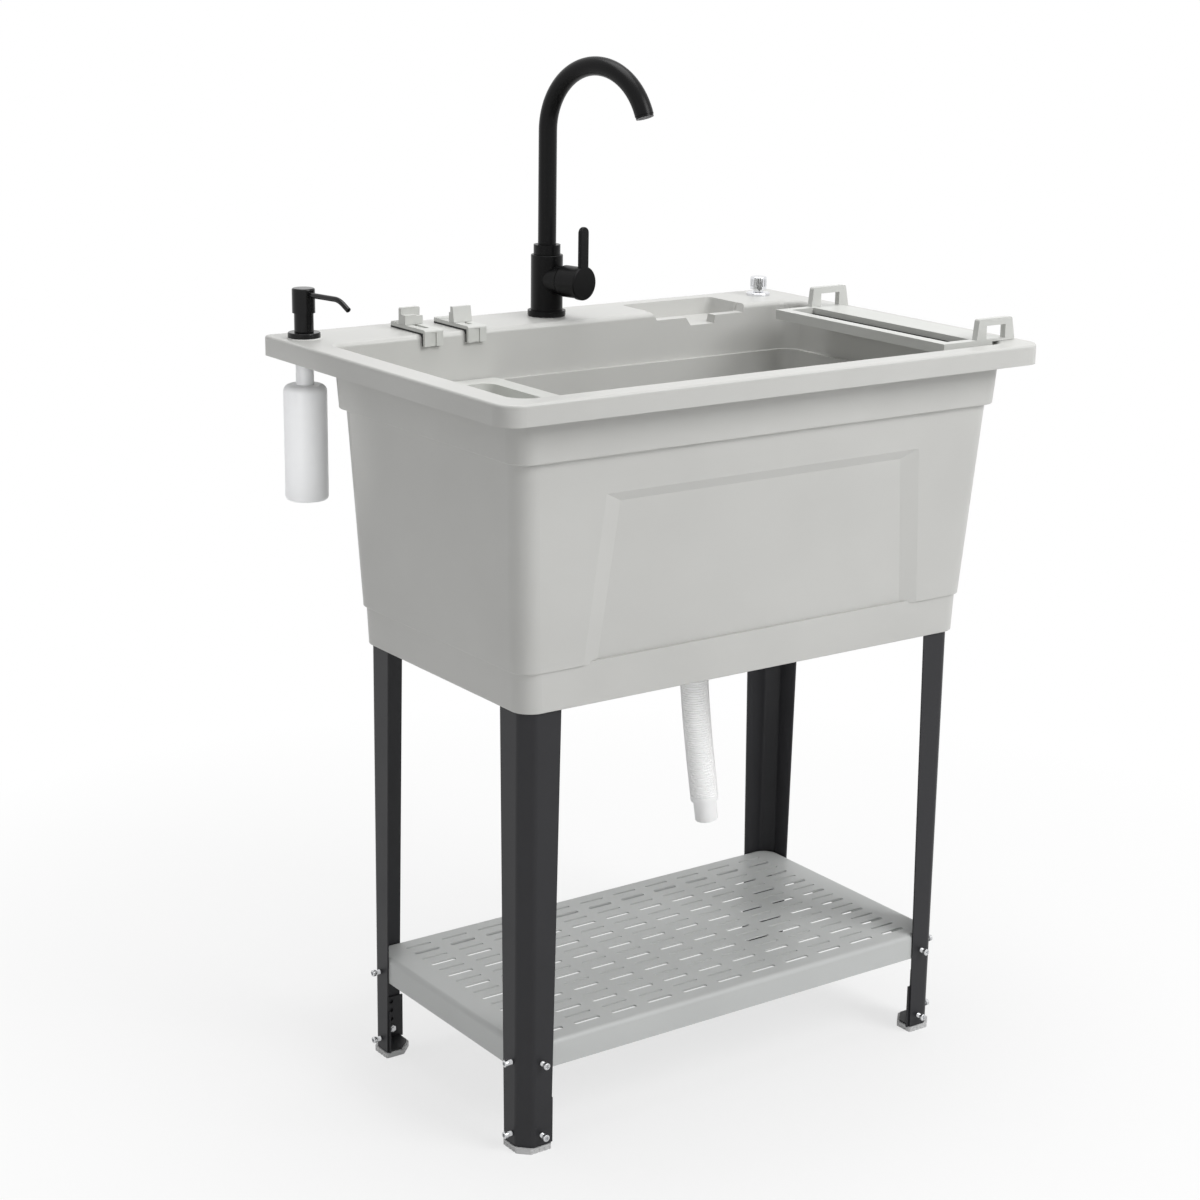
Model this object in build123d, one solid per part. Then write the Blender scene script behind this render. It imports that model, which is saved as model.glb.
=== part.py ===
from build123d import *
import math
import os

os.makedirs("parts", exist_ok=True)

# Utility laundry sink. Millimetres. X runs right along the front, Y to the rear, Z up.
# The origin is on the floor, under the middle of the rim.

# ------------------------------------------------------------------ driving dimensions

# rim and rear deck
rim_height = 860.0
rim_width = 740.0
rim_depth = 510.0
rim_skirt = 23.0
rim_plate = 4.5
rim_front_radius = 25.0
rim_rear_radius = 8.0
rim_edge_round = 3.0
wall = 4.0

# bowl: an upper band, a tapered main wall and an apron that hides the tops of the legs
band_side_margin = 32.5
band_front_margin = 28.0
band_rear_margin = 92.0
band_height = 48.0
band_draft = 3.0
ledge = 6.0
wall_height = 230.0
side_taper = 13.0
front_taper = 15.0
rear_taper = 10.0
apron_height = 45.0
apron_step = 2.5
apron_side_draft = 2.5
apron_end_draft = 0.5
outer_corner_radius = 24.0
bowl_floor = 5.0
floor_round = 18.0
opening_round = 6.0
step_round = 1.5

# shallow panel sunk in the front wall, with soft sloping sides
panel_top_below_band = 42.0
panel_top_half = 218.0
panel_bottom_half = 237.0
panel_depth = 5.5
panel_side_slope = 4.0
panel_top_slope = 2.0

# soap tray sunk in the rear deck, draining through a notch
soap_width = 140.0
soap_side_margin = 112.0
soap_rear_margin = 23.0
soap_floor_depth = 20.0
soap_dam = 12.0
soap_dam_drop = 10.0
soap_notch_offset = 50.0
soap_notch_width = 42.0
soap_floor = 3.0

# legs, folded from sheet
leg_sheet = 2.0
leg_socket_gap = 0.3
leg_chamfer = 14.0
leg_bend = 8.0
leg_front_width_top = 47.5
leg_front_width_bottom = 38.0
leg_side_width_top = 49.0
leg_side_width_bottom = 37.5
socket_corner_radius = 14.0
socket_rib = 3.0
socket_rib_front = 38.0
socket_rib_side = 32.0

# feet
pad_thickness = 6.5
pad_size = 40.0
pad_overhang = 1.2
pad_scallop = 1.6
pad_scallop_pitch = 6.5
pad_scallop_height = 4.5
pad_corner_cut = 12.0
bracket_height = 54.0
bracket_front_width = 41.5
bracket_side_width = 40.0
bracket_flange_clip = 16.0
bracket_gap = 0.1
bracket_hole_pitch = 11.5

# shelf
shelf_top_height = 129.5
shelf_lip = 31.5
shelf_sheet = 2.0
shelf_gap = 0.2
shelf_corner_radius = 23.0
shelf_edge_round = 6.0
shelf_boss = 8.0
shelf_boss_front = 52.0
shelf_boss_side = 32.0
slot_length = 35.0
slot_narrow = 3.5
slot_wide = 6.2
slot_column_pitch = 50.8
slot_row_pitch = 18.8
slot_side_margin = 25.0
slot_end_margin = 20.0

# socket-head screws and nuts that hold the shelf and the feet
screw_diameter = 5.0
screw_head_diameter = 8.0
screw_head_height = 4.0
screw_socket = 4.0
screw_socket_depth = 2.2
screw_proud = 6.5
screw_hole_clearance = 0.2
screw_end = 1.5
nut_across_flats = 8.0
nut_height = 4.0
nut_thread_gap = 0.05
shelf_screw_height = 107.0
foot_screw_height = 20.0
screw_from_corner_front = 25.5
screw_from_corner_side = 22.0

# faucet
faucet_x = -8.5
faucet_from_rear = 45.0
faucet_turn = 12.0
faucet_gasket_thickness = 1.5
faucet_ring_height = 5.5
faucet_ring_diameter = 46.0
faucet_body_diameter = 38.7
faucet_body_top = 74.0
faucet_shank_diameter = 32.0
faucet_shank_length = 46.0
deck_hole_clearance = 1.5
inlet_diameter = 9.5
inlet_depth = 22.0
inlet_spacing = 14.0
washer_thickness = 3.0
washer_diameter = 54.0
shank_nut_diameter = 50.0
shank_nut_height = 14.0
collar_diameter = 32.4
collar_height = 12.0
spout_diameter = 22.0
spout_wall = 1.6
spout_spigot = 14.0
spout_riser_top = 220.5
spout_bend_radius = 79.0
spout_bend_angle = 160.0
seal_height = 3.0
aerator_length = 12.0
aerator_proud = 3.0
aerator_hole = 1.9
running_gap = 0.06
swivel_gap = 0.3
thread_gap = 0.2

# lever valve
lever_height = 45.0
pivot_distance = 45.0
joint_sphere = 24.0
joint_gap = 0.4
neck_diameter = 34.0
lever_cap_diameter = 38.0
lever_face_distance = 62.5
lever_disc_diameter = 40.5
lever_disc_thickness = 6.0
cartridge_diameter = 25.8
cartridge_back = 8.0
cartridge_front = -18.0
stem_diameter = 7.0
stem_depth = 14.0
cross_pin_diameter = 3.0
cross_pin_length = 33.0
cap_hollow = 13.0
lever_tilt = 20.0
paddle_width = 14.5
paddle_thickness = 5.0
paddle_top = 112.0
paddle_distance = 60.0

# soap pump
pump_from_side = 30.0
pump_from_rear = 44.0
pump_turn = 6.5
pump_gasket_diameter = 40.0
pump_gasket_thickness = 1.0
pump_flange_diameter = 37.5
pump_flange_thickness = 6.0
pump_shank_diameter = 25.0
pump_shank_length = 22.0
pump_nut_diameter = 38.0
pump_nut_height = 11.0
sleeve_diameter = 22.3
sleeve_bore = 16.0
sleeve_top = 40.0
sleeve_spigot_diameter = 18.0
pump_head_diameter = 26.4
pump_head_bottom = 29.0
pump_head_top = 57.0
pump_head_roof = 3.2
pump_stroke = 13.0
pump_rod_diameter = 6.0
piston_diameter = 11.0
piston_height = 5.0
piston_top = -33.0
cylinder_diameter = 15.0
cylinder_bottom = -60.0
cylinder_end = 2.5
spring_turns = 4
spring_wire = 1.0
spring_diameter = 8.0
dip_tube_diameter = 6.0
dip_tube_wall = 0.8
bottle_diameter = 50.0
bottle_bottom = -188.0
bottle_shoulder = -53.0
bottle_neck_diameter = 20.6
bottle_wall = 1.5
bottle_round = 5.0
pump_spout_height = 50.0
pump_spout_reach = 86.0
pump_spout_drop = 8.0
pump_spout_diameter = 6.2
pump_spout_bore = 3.0

# drain knob
knob_from_side = 48.5
knob_from_rear = 43.0
knob_plinth_diameter = 30.0
knob_plinth_height = 4.0
knob_shank_diameter = 18.0
knob_shank_length = 24.0
knob_neck_diameter = 13.0
knob_neck_height = 4.0
knob_diameter = 20.8
knob_height = 16.0
knob_flutes = 18
knob_flute_radius = 1.1
knob_spindle_diameter = 6.0
knob_nut_height = 8.0
knob_nut_across_flats = 26.0

# drain
drain_x = 44.0
drain_y = -31.0
drain_flange_diameter = 78.0
drain_flange_thickness = 2.5
drain_flange_round = 1.5
drain_throat_diameter = 38.0
drain_shank_diameter = 44.0
drain_shank_length = 30.0
drain_gasket_diameter = 62.0
drain_gasket_thickness = 3.0
drain_nut_diameter = 60.0
drain_nut_height = 20.0
stopper_diameter = 36.0
stopper_thickness = 4.0
stopper_stem_diameter = 5.0
stopper_stem_length = 34.0
stopper_lift = 8.0
drain_bridge_height = 6.0
drain_bridge_width = 8.0
hose_diameter = 34.0
hose_bore = 30.0
hose_rib_depth = 1.0
hose_rib_pitch = 3.0
tailpiece_cone_height = 32.0
hose_straight = 40.0
hose_drop = (54.0, 108.0, 161.0)
hose_lean = (5.5, 13.0, 21.0)
spigot_diameter = 29.4
spigot_bore = 25.0
spigot_length = 16.0
clamp_width = 9.0
clamp_thickness = 1.5
cuff_diameter = 28.0
cuff_bore = 24.0
cuff_length = 28.0
cuff_flange = 2.0

# hanging clips on the rear edge
clip_width = 25.0
clip_left = -215.0
clip_spacing = 59.0
clip_strip = 4.0
clip_pad = 2.0
clip_rear_margin = 25.0
clip_hook_depth = 13.0
clip_wall_gap = 0.3
clip_corner_gap = 0.6
clip_groove_width = 7.0
clip_groove_depth = 1.5
clip_teeth = 3
clip_tooth_height = 1.2
clip_tooth_pitch = 4.5
clip_tooth_base = 2.6
clip_tooth_crest = 1.7
key_groove_width = 6.0
key_groove_depth = 2.0
key_gap = 0.3
key_length = 12.0
jaw_gap = 0.3
back_jaw_from_rear = 46.0
back_jaw_plate = 6.0
back_jaw_height = 19.0
back_jaw_block = 9.0
back_jaw_block_height = 11.0
back_jaw_block_width = 15.0
front_jaw_from_rear = 66.0
front_jaw_plate = 8.0
front_jaw_top = 5.0
front_jaw_height = 18.0
front_jaw_block = 8.0
front_jaw_block_height = 10.0

# rack that hangs on the right rim, its margins measured from the rim's edges
rack_top_above_rim = 3.0
rack_bar_height = 11.5
rack_left_margin = 119.0
rack_left_bar = 15.0
rack_slot_margin = 68.5
rack_flange_margin = 22.5
rack_front_margin = 42.0
rack_rear_margin = 166.0
rack_end_bar = 12.0
rack_seat_gap = 0.3
rack_wall_gap = 2.0
rubber_height = 4.5
rubber_width = 2.0
handle_left_margin = 68.5
handle_right_margin = 9.0
handle_taper_right = 5.0
handle_taper_left = 3.0
handle_thickness = 8.0
handle_height = 27.0
handle_leg = 14.0
handle_bar = 8.0
handle_sill = 2.7

# tray that drops on the ledges at the left
tray_side_margin = 41.0
tray_width = 211.0
tray_flange = 2.7
tray_seat_gap = 0.3
tray_end_gap = 1.8
tray_wall = 2.5
tray_depth = 58.0
tray_left_rim = 8.5
tray_right_rim = 25.0
tray_front_rim = 9.0
tray_rear_rim = 27.0
tray_corner_radius = 18.0
tray_draft = 4.0
tray_round = 8.0

# ------------------------------------------------------------------ places along the rim

rim_right = rim_width / 2
rim_rear = rim_depth / 2
band_half_width = rim_right - band_side_margin
band_front = -rim_rear + band_front_margin
band_rear = rim_rear - band_rear_margin
soap_right = rim_right - soap_side_margin
soap_left = soap_right - soap_width
soap_notch_left = soap_left + soap_notch_offset
soap_rear = rim_rear - soap_rear_margin
clip_rear = rim_rear - clip_rear_margin
back_jaw_y = rim_rear - back_jaw_from_rear
front_jaw_y = rim_rear - front_jaw_from_rear
rack_left = rim_right - rack_left_margin
rack_slot_right = rim_right - rack_slot_margin
rack_flange_right = rim_right - rack_flange_margin
rack_front = -rim_rear + rack_front_margin
rack_rear = rim_rear - rack_rear_margin
handle_left = rim_right - handle_left_margin
handle_right = rim_right - handle_right_margin
tray_left = -rim_right + tray_side_margin

# ------------------------------------------------------------------ levels of the bowl

plate_under = rim_height - rim_plate
band_top = rim_height - rim_skirt
band_bottom = band_top - band_height
wall_bottom = band_bottom - wall_height
apron_bottom = wall_bottom - apron_height
floor_top = wall_bottom + 1.0
floor_under = floor_top - bowl_floor
ledge_height = band_bottom + 11.0

wall_top_half = band_half_width - band_draft - ledge
wall_top_front = band_front + band_draft + ledge
wall_top_rear = band_rear - band_draft - ledge
wall_bottom_half = wall_top_half - side_taper
wall_bottom_front = wall_top_front + front_taper
wall_bottom_rear = wall_top_rear - rear_taper
apron_half = wall_bottom_half - apron_step
apron_front = wall_bottom_front + apron_step
apron_rear = wall_bottom_rear - apron_step
apron_foot_half = apron_half - apron_side_draft
apron_foot_front = apron_front + apron_end_draft
apron_foot_rear = apron_rear - apron_end_draft

leg_half = apron_foot_half - wall - leg_socket_gap
leg_front = apron_foot_front + wall + leg_socket_gap
leg_rear = apron_foot_rear - wall - leg_socket_gap
leg_bottom = pad_thickness + leg_socket_gap
leg_top = floor_under - leg_socket_gap


def save(name, shape):
    """Write one named piece and print its volume."""
    export_step(shape, f"parts/{name}.step")
    print(f"{name}: {shape.volume:.0f} mm3")


def outline(half, front, rear, radius, height):
    """Rounded rectangle, lying flat at a height, symmetric about X = 0."""
    return Pos(0, (front + rear) / 2, height) * RectangleRounded(2 * half, rear - front, radius)


def tapered(low, high):
    """Solid between two flat outlines."""
    return loft([low.face(), high.face()], ruled=True)


def ring(outer, inner, low, high):
    """Upright ring; an inner diameter of 0 gives a disc."""
    solid = Pos(0, 0, low) * Cylinder(outer / 2, high - low, align=(Align.CENTER, Align.CENTER, Align.MIN))
    if inner:
        solid -= Pos(0, 0, low - 1) * Cylinder(
            inner / 2, high - low + 2, align=(Align.CENTER, Align.CENTER, Align.MIN)
        )
    return solid


def block(x_low, x_high, y_low, y_high, z_low, z_high):
    """Box given by its limits."""
    size = (x_high - x_low, y_high - y_low, z_high - z_low)
    return Pos((x_low + x_high) / 2, (y_low + y_high) / 2, (z_low + z_high) / 2) * Box(*size)


def profile_along_x(points, x_low, x_high):
    """Prism with a Y-Z outline, running along X."""
    face = make_face(Polyline(*[(x_low, y, z) for y, z in points], close=True))
    return extrude(face, amount=x_high - x_low, dir=(1, 0, 0))


def profile_along_y(points, y_low, y_high):
    """Prism with an X-Z outline, running along Y."""
    face = make_face(Polyline(*[(x, y_low, z) for x, z in points], close=True))
    return extrude(face, amount=y_high - y_low, dir=(0, 1, 0))


def edges_at(shape, height, reach=0.01):
    """Edges that lie flat at one height."""
    return shape.edges().filter_by(
        lambda e: abs(e.bounding_box().min.Z - height) < reach
        and abs(e.bounding_box().max.Z - height) < reach
    )


# ------------------------------------------------------------------ basin

drain_place = Pos(drain_x, drain_y, 0)
faucet_place = Pos(faucet_x, rim_rear - faucet_from_rear, rim_height) * Rot(0, 0, faucet_turn)
pump_place = Pos(-rim_right + pump_from_side, rim_rear - pump_from_rear, rim_height) * Rot(0, 0, pump_turn)
knob_place = Pos(rim_right - knob_from_side, rim_rear - knob_from_rear, rim_height)


def band_edge(height):
    """Half width, front and rear of the band's outer faces at a height."""
    grow = band_draft * (height - band_top) / band_height
    return band_half_width + grow, band_front - grow, band_rear + grow


def wall_edge(height):
    """Half width, front and rear of the main wall's outer faces at a height."""
    share = (height - wall_bottom) / wall_height
    half = wall_bottom_half + side_taper * share
    front = wall_bottom_front - front_taper * share
    rear = wall_bottom_rear + rear_taper * share
    return half, front, rear


def inside(edge, gap):
    """The same outline drawn in by a gap."""
    half, front, rear = edge
    return half - gap, front + gap, rear - gap


def front_panel(back):
    """Soft-sided wedge that sinks the panel in the front wall; back moves it inwards by a wall."""
    rise = Vector(0, -front_taper, wall_height).normalized()
    outward = Vector(0, -rise.Z, rise.Y)
    face = Plane(origin=(0, wall_bottom_front, wall_bottom), x_dir=(1, 0, 0), z_dir=outward)
    widen = back * (math.hypot(1, panel_side_slope) - panel_side_slope)
    top = wall_height - panel_top_below_band + back
    sections = []
    for out in (-panel_depth, panel_depth):
        low_half = panel_bottom_half + widen + panel_side_slope * out
        high_half = panel_top_half + widen + panel_side_slope * out
        high = top + panel_top_slope * out
        corners = [(-low_half, -back - 1), (low_half, -back - 1), (high_half, high), (-high_half, high)]
        sections.append(face.offset(out - back) * make_face(Polyline(*corners, close=True)))
    return loft(sections, ruled=True)


def basin_outside():
    """Band, main wall and apron as one filled solid."""
    band = tapered(
        outline(*band_edge(band_bottom), outer_corner_radius, band_bottom),
        outline(*band_edge(rim_height), outer_corner_radius, rim_height),
    )
    band = fillet(edges_at(band, band_bottom), step_round)
    main = tapered(
        outline(*wall_edge(wall_bottom), outer_corner_radius, wall_bottom),
        outline(*wall_edge(band_bottom + 3), outer_corner_radius, band_bottom + 3),
    )
    main = fillet(edges_at(main, wall_bottom), step_round)
    main -= front_panel(0)
    apron = tapered(
        outline(apron_foot_half, apron_foot_front, apron_foot_rear, outer_corner_radius, apron_bottom),
        outline(apron_half, apron_front, apron_rear, outer_corner_radius, wall_bottom + 3),
    )
    apron = fillet(edges_at(apron, apron_bottom), step_round)
    return band + main + apron


def rim_shell():
    """Flat rim and rear deck with a skirt, open underneath."""
    sheet = Pos(0, 0, band_top) * Rectangle(rim_width, rim_depth)
    sheet = fillet(sheet.vertices().sort_by(Axis.Y)[:2], rim_front_radius)
    sheet = fillet(sheet.vertices().sort_by(Axis.Y)[-2:], rim_rear_radius)
    shell = extrude(sheet, amount=rim_skirt)
    shell = fillet(edges_at(shell, rim_height), rim_edge_round)
    hollow = extrude(offset(sheet, -wall), amount=rim_skirt - rim_plate)
    return shell - hollow


def bowl_hollow():
    """Space inside the bowl, with the ledge where the wall steps in."""
    half, front, rear = inside(band_edge(ledge_height), wall)
    high_half, high_front, high_rear = inside(band_edge(rim_height), wall)
    radius = outer_corner_radius - wall
    upper = tapered(
        outline(half, front, rear, radius, ledge_height),
        outline(high_half, high_front, high_rear, radius, rim_height),
    )
    lower = tapered(
        outline(*inside(wall_edge(floor_top), wall), radius, floor_top),
        outline(*inside(wall_edge(ledge_height), wall), radius, ledge_height),
    )
    lower = fillet(edges_at(lower, floor_top), floor_round)
    return upper + (lower - front_panel(wall))


def apron_hollow():
    """Space inside the apron, under the bowl floor."""
    radius = socket_corner_radius
    foot = inside((apron_foot_half, apron_foot_front, apron_foot_rear), wall)
    head = inside((apron_half, apron_front, apron_rear), wall)
    return tapered(outline(*foot, radius, apron_bottom), outline(*head, radius, floor_under))


def leg_sockets():
    """Ribs inside the apron that hold the legs from within."""
    inner_x = leg_half - leg_sheet - leg_socket_gap
    low = apron_bottom + 3
    ribs = []
    for side in (-1, 1):
        for y_outer, inward in ((leg_front, 1), (leg_rear, -1)):
            y_face = y_outer + inward * (leg_sheet + leg_socket_gap)
            start = leg_chamfer
            x_pair = sorted((side * (inner_x - start), side * (inner_x - socket_rib_front)))
            y_pair = sorted((y_face, y_face + inward * socket_rib))
            ribs.append(block(*x_pair, *y_pair, low, floor_top - 1))
            x_pair = sorted((side * inner_x, side * (inner_x - socket_rib)))
            y_pair = sorted((y_face + inward * start, y_face + inward * socket_rib_side))
            ribs.append(block(*x_pair, *y_pair, low, floor_top - 1))
    return ribs


def soap_tray_block():
    """Filled block under the deck around the soap tray."""
    front = band_rear - wall - 1
    return block(
        soap_left - 8,
        soap_right + 8,
        front,
        soap_rear + 5,
        rim_height - soap_floor_depth - soap_floor,
        rim_height - 1,
    )


def soap_tray_hollow():
    """Sunk tray, its lowered dam and the notch that drains it into the bowl."""
    floor = rim_height - soap_floor_depth
    edge = band_edge(rim_height)[2] - wall
    dam_rear = edge + soap_dam
    low = Pos((soap_left + soap_right) / 2, (dam_rear + soap_rear) / 2, floor) * RectangleRounded(
        soap_right - soap_left - 10, soap_rear - dam_rear - 6, 6
    )
    high = Pos((soap_left + soap_right) / 2, (dam_rear + soap_rear) / 2, rim_height) * RectangleRounded(
        soap_right - soap_left, soap_rear - dam_rear, 8
    )
    tray = tapered(low, high)
    dam_top = rim_height - soap_dam_drop
    opening = profile_along_y(
        [
            (soap_left + 3, dam_top),
            (soap_right - 3, dam_top),
            (soap_right + 1, rim_height + 1),
            (soap_left - 4, rim_height + 1),
        ],
        edge - 12,
        dam_rear + 4,
    )
    notch = profile_along_y(
        [
            (soap_notch_left + 5, floor),
            (soap_notch_left + soap_notch_width, floor),
            (soap_notch_left + soap_notch_width + 1, dam_top + 1),
            (soap_notch_left - 3, dam_top + 1),
        ],
        edge - 12,
        dam_rear + 6,
    )
    return tray + opening + notch


def deck_hole(place, diameter):
    """Through hole in the deck."""
    return place * ring(diameter, 0, -rim_plate - 2, 2)


basin = basin_outside() + rim_shell() + soap_tray_block()
basin -= bowl_hollow()
basin = fillet(
    edges_at(basin, rim_height).filter_by(
        lambda e: e.bounding_box().max.X < band_half_width + 5
        and e.bounding_box().min.X > -band_half_width - 5
        and e.bounding_box().min.Y > band_front - 5
        and e.bounding_box().max.Y < band_rear + 5
    ),
    opening_round,
)
basin -= apron_hollow()
basin += leg_sockets()
basin -= soap_tray_hollow()
basin -= deck_hole(faucet_place, faucet_shank_diameter + 2 * deck_hole_clearance)
basin -= deck_hole(pump_place, pump_shank_diameter + 2 * deck_hole_clearance)
basin -= deck_hole(knob_place, knob_shank_diameter + 2 * deck_hole_clearance)
basin -= drain_place * ring(drain_shank_diameter + 2 * deck_hole_clearance, 0, floor_under - 2, floor_top + 2)
save("basin", basin)

# ------------------------------------------------------------------ legs and feet

leg_corners = {
    "front_left": (-1, 1),
    "front_right": (1, 1),
    "rear_left": (-1, -1),
    "rear_right": (1, -1),
}


def at_corner(shape, side, inward):
    """Turn a corner piece, drawn with its arms along +X and +Y, to one of the four legs."""
    if side > 0 and inward < 0:
        shape = Rot(0, 0, 180) * shape
    elif side > 0:
        shape = mirror(shape, about=Plane.YZ)
    elif inward < 0:
        shape = mirror(shape, about=Plane.XZ)
    return Pos(side * leg_half, leg_front if inward > 0 else leg_rear, 0) * shape


def angle_section(front_width, side_width, inset, chamfer, bend, height):
    """Folded angle seen from above, its outer faces an inset inside the corner."""
    turn = leg_sheet * math.tan(math.radians(22.5))
    low = inset
    high = inset + leg_sheet
    points = [
        (front_width, low),
        (low + chamfer, low),
        (low, low + chamfer),
        (low, side_width),
        (high, side_width),
        (high, low + chamfer + turn),
        (low + chamfer + turn, high),
        (front_width, high),
    ]
    section = make_face(Polyline(*points, close=True))
    outer = [v for v in section.vertices() if min(v.X, v.Y) < low + 0.01 and max(v.X, v.Y) < low + chamfer + 0.01]
    section = fillet(outer, bend)
    inner = [
        v
        for v in section.vertices()
        if abs(min(v.X, v.Y) - high) < 0.01 and abs(max(v.X, v.Y) - low - chamfer - turn) < 0.01
    ]
    section = fillet(inner, bend - leg_sheet)
    return Pos(0, 0, height) * section


def screw_seats(height):
    """The two screw axes of a leg at a height, as a point on the leg's face and a direction."""
    return [
        ((screw_from_corner_front, 0, height), (0, -1, 0)),
        ((0, screw_from_corner_side, height), (-1, 0, 0)),
    ]


def aimed(point, direction, shape):
    """Put a piece drawn along +Z on a point, along a direction."""
    return Plane(origin=point, z_dir=direction) * shape


def screw_hole(point, direction, depth):
    """Clearance hole for a screw, running inwards from a face."""
    return aimed(point, direction, ring(screw_diameter + 2 * screw_hole_clearance, 0, -depth, 2))


def leg():
    """Folded leg, widest at the top, with its four screw holes."""
    low = angle_section(leg_front_width_bottom, leg_side_width_bottom, 0, leg_chamfer, leg_bend, leg_bottom)
    high = angle_section(leg_front_width_top, leg_side_width_top, 0, leg_chamfer, leg_bend, leg_top)
    body = tapered(low, high)
    for height in (shelf_screw_height, foot_screw_height):
        for point, direction in screw_seats(height):
            body -= screw_hole(point, direction, leg_sheet + 2)
    return body


bracket_inset = leg_sheet + bracket_gap
bracket_bend = leg_bend - bracket_inset + 0.5
bracket_chamfer = leg_chamfer - 2 * bracket_inset * (1 - math.sqrt(0.5))


def foot_bracket():
    """Short inner angle with a row of holes and a flange that the pad is fixed to."""
    top = pad_thickness + bracket_height
    section = angle_section(
        bracket_front_width, bracket_side_width, bracket_inset, bracket_chamfer, bracket_bend, 0
    )
    body = Pos(0, 0, pad_thickness) * extrude(section, amount=bracket_height, dir=(0, 0, 1))
    far = pad_size - pad_overhang - 2
    flange = make_face(
        Polyline(
            (bracket_inset + bracket_chamfer, bracket_inset),
            (far, bracket_inset),
            (far, far - bracket_flange_clip),
            (far - bracket_flange_clip, far),
            (bracket_inset, far),
            (bracket_inset, bracket_inset + bracket_chamfer),
            close=True,
        )
    )
    bends = [v for v in flange.vertices() if max(v.X, v.Y) < bracket_inset + bracket_chamfer + 0.01]
    flange = fillet(bends, bracket_bend)
    body += Pos(0, 0, pad_thickness) * extrude(flange, amount=leg_sheet, dir=(0, 0, 1))
    height = foot_screw_height
    while height < top - bracket_hole_pitch / 2:
        for point, direction in screw_seats(height):
            body -= screw_hole(point, direction, bracket_inset + leg_sheet + 2)
        height += bracket_hole_pitch
    return body


def foot_pad():
    """Soft pad under a leg, scalloped round its outer edge."""
    low = -pad_overhang
    high = pad_size - pad_overhang
    clip = bracket_flange_clip
    cut = pad_corner_cut
    sheet = make_face(
        Polyline(
            (low + cut, low),
            (high, low),
            (high, high - clip),
            (high - clip, high),
            (low, high),
            (low, low + cut),
            close=True,
        )
    )
    pad = extrude(fillet(sheet.vertices(), 3), amount=pad_thickness, dir=(0, 0, 1))
    notches = []
    place = cut + low + 4
    notch = ring(2 * pad_scallop, 0, -1, pad_scallop_height)
    while place < high - 4:
        notches.append(Pos(place, low - pad_scallop / 2, 0) * notch)
        notches.append(Pos(low - pad_scallop / 2, place, 0) * notch)
        place += pad_scallop_pitch
    return pad - notches


for name, (side, inward) in leg_corners.items():
    save(f"leg_{name}", at_corner(leg(), side, inward))


def group(shapes):
    """Separate solids kept together as one piece."""
    return Compound([solid for shape in shapes for solid in shape.solids()])


def at_each_corner(shape):
    """Four copies of a corner piece, one for each leg, as one group."""
    return group([at_corner(shape, side, inward) for side, inward in leg_corners.values()])


save("foot_brackets", at_each_corner(foot_bracket()))
save("foot_pads", at_each_corner(foot_pad()))

# ------------------------------------------------------------------ shelf

shelf_half = leg_half - leg_sheet - shelf_gap
shelf_front = leg_front + leg_sheet + shelf_gap
shelf_rear = leg_rear - leg_sheet - shelf_gap
shelf_bottom = shelf_top_height - shelf_lip
slot_columns = 1 + int((2 * leg_half - 2 * slot_side_margin - slot_length) / slot_column_pitch)
slot_rows = 1 + int((leg_rear - leg_front - 2 * slot_end_margin) / slot_row_pitch)


def shelf_slots():
    """Rows of long slots, narrow and wide rows in turn from the rear."""
    middle = (shelf_front + shelf_rear) / 2
    slots = []
    for row in range(slot_rows):
        width = slot_narrow if row % 2 == 0 else slot_wide
        y = middle + (slot_rows - 1) * slot_row_pitch / 2 - row * slot_row_pitch
        for column in range(slot_columns):
            x = (column - (slot_columns - 1) / 2) * slot_column_pitch
            slot = Pos(x, y, shelf_top_height - 3 * shelf_sheet) * SlotOverall(slot_length, width)
            slots.append(extrude(slot, amount=4 * shelf_sheet))
    return slots


def shelf_boss_block():
    """Corner thickening that takes the two shelf screws."""
    inset = leg_sheet + shelf_gap
    deep = inset + shelf_boss
    top = shelf_top_height - 1
    front = block(inset, inset + shelf_boss_front, inset, deep, shelf_bottom, top)
    side = block(inset, deep, inset, inset + shelf_boss_side, shelf_bottom, top)
    return front + side


def shelf():
    """Moulded tray-like shelf: slotted top, lip all round, bosses in the corners."""
    outside = extrude(
        outline(shelf_half, shelf_front, shelf_rear, shelf_corner_radius, shelf_bottom), amount=shelf_lip
    )
    outside = fillet(edges_at(outside, shelf_top_height), shelf_edge_round)
    inner = extrude(
        outline(
            shelf_half - shelf_sheet,
            shelf_front + shelf_sheet,
            shelf_rear - shelf_sheet,
            shelf_corner_radius - shelf_sheet,
            shelf_bottom - 1,
        ),
        amount=shelf_lip + 1 - shelf_sheet,
    )
    inner = fillet(edges_at(inner, shelf_top_height - shelf_sheet), shelf_edge_round - shelf_sheet)
    bosses = [at_corner(shelf_boss_block(), side, inward) & outside for side, inward in leg_corners.values()]
    body = (outside - inner) + bosses
    holes = []
    depth = leg_sheet + shelf_gap + shelf_boss + 1
    for side, inward in leg_corners.values():
        for point, direction in screw_seats(shelf_screw_height):
            holes.append(at_corner(screw_hole(point, direction, depth), side, inward))
    return body - holes - shelf_slots()


save("shelf", shelf())

# ------------------------------------------------------------------ screws and nuts


def screw(grip):
    """Socket-head screw; its grip is what it clamps, from the leg's face to the nut's end."""
    body = ring(screw_diameter, 0, -grip - screw_end, screw_proud + 0.5)
    head = ring(screw_head_diameter, 0, screw_proud, screw_proud + screw_head_height)
    head = fillet(edges_at(head, screw_proud + screw_head_height), 0.8)
    hexagon = RegularPolygon(screw_socket / 2, 6, major_radius=False)
    socket = Pos(0, 0, screw_proud + screw_head_height - screw_socket_depth) * hexagon
    return body + head - extrude(socket, amount=screw_head_height)


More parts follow.
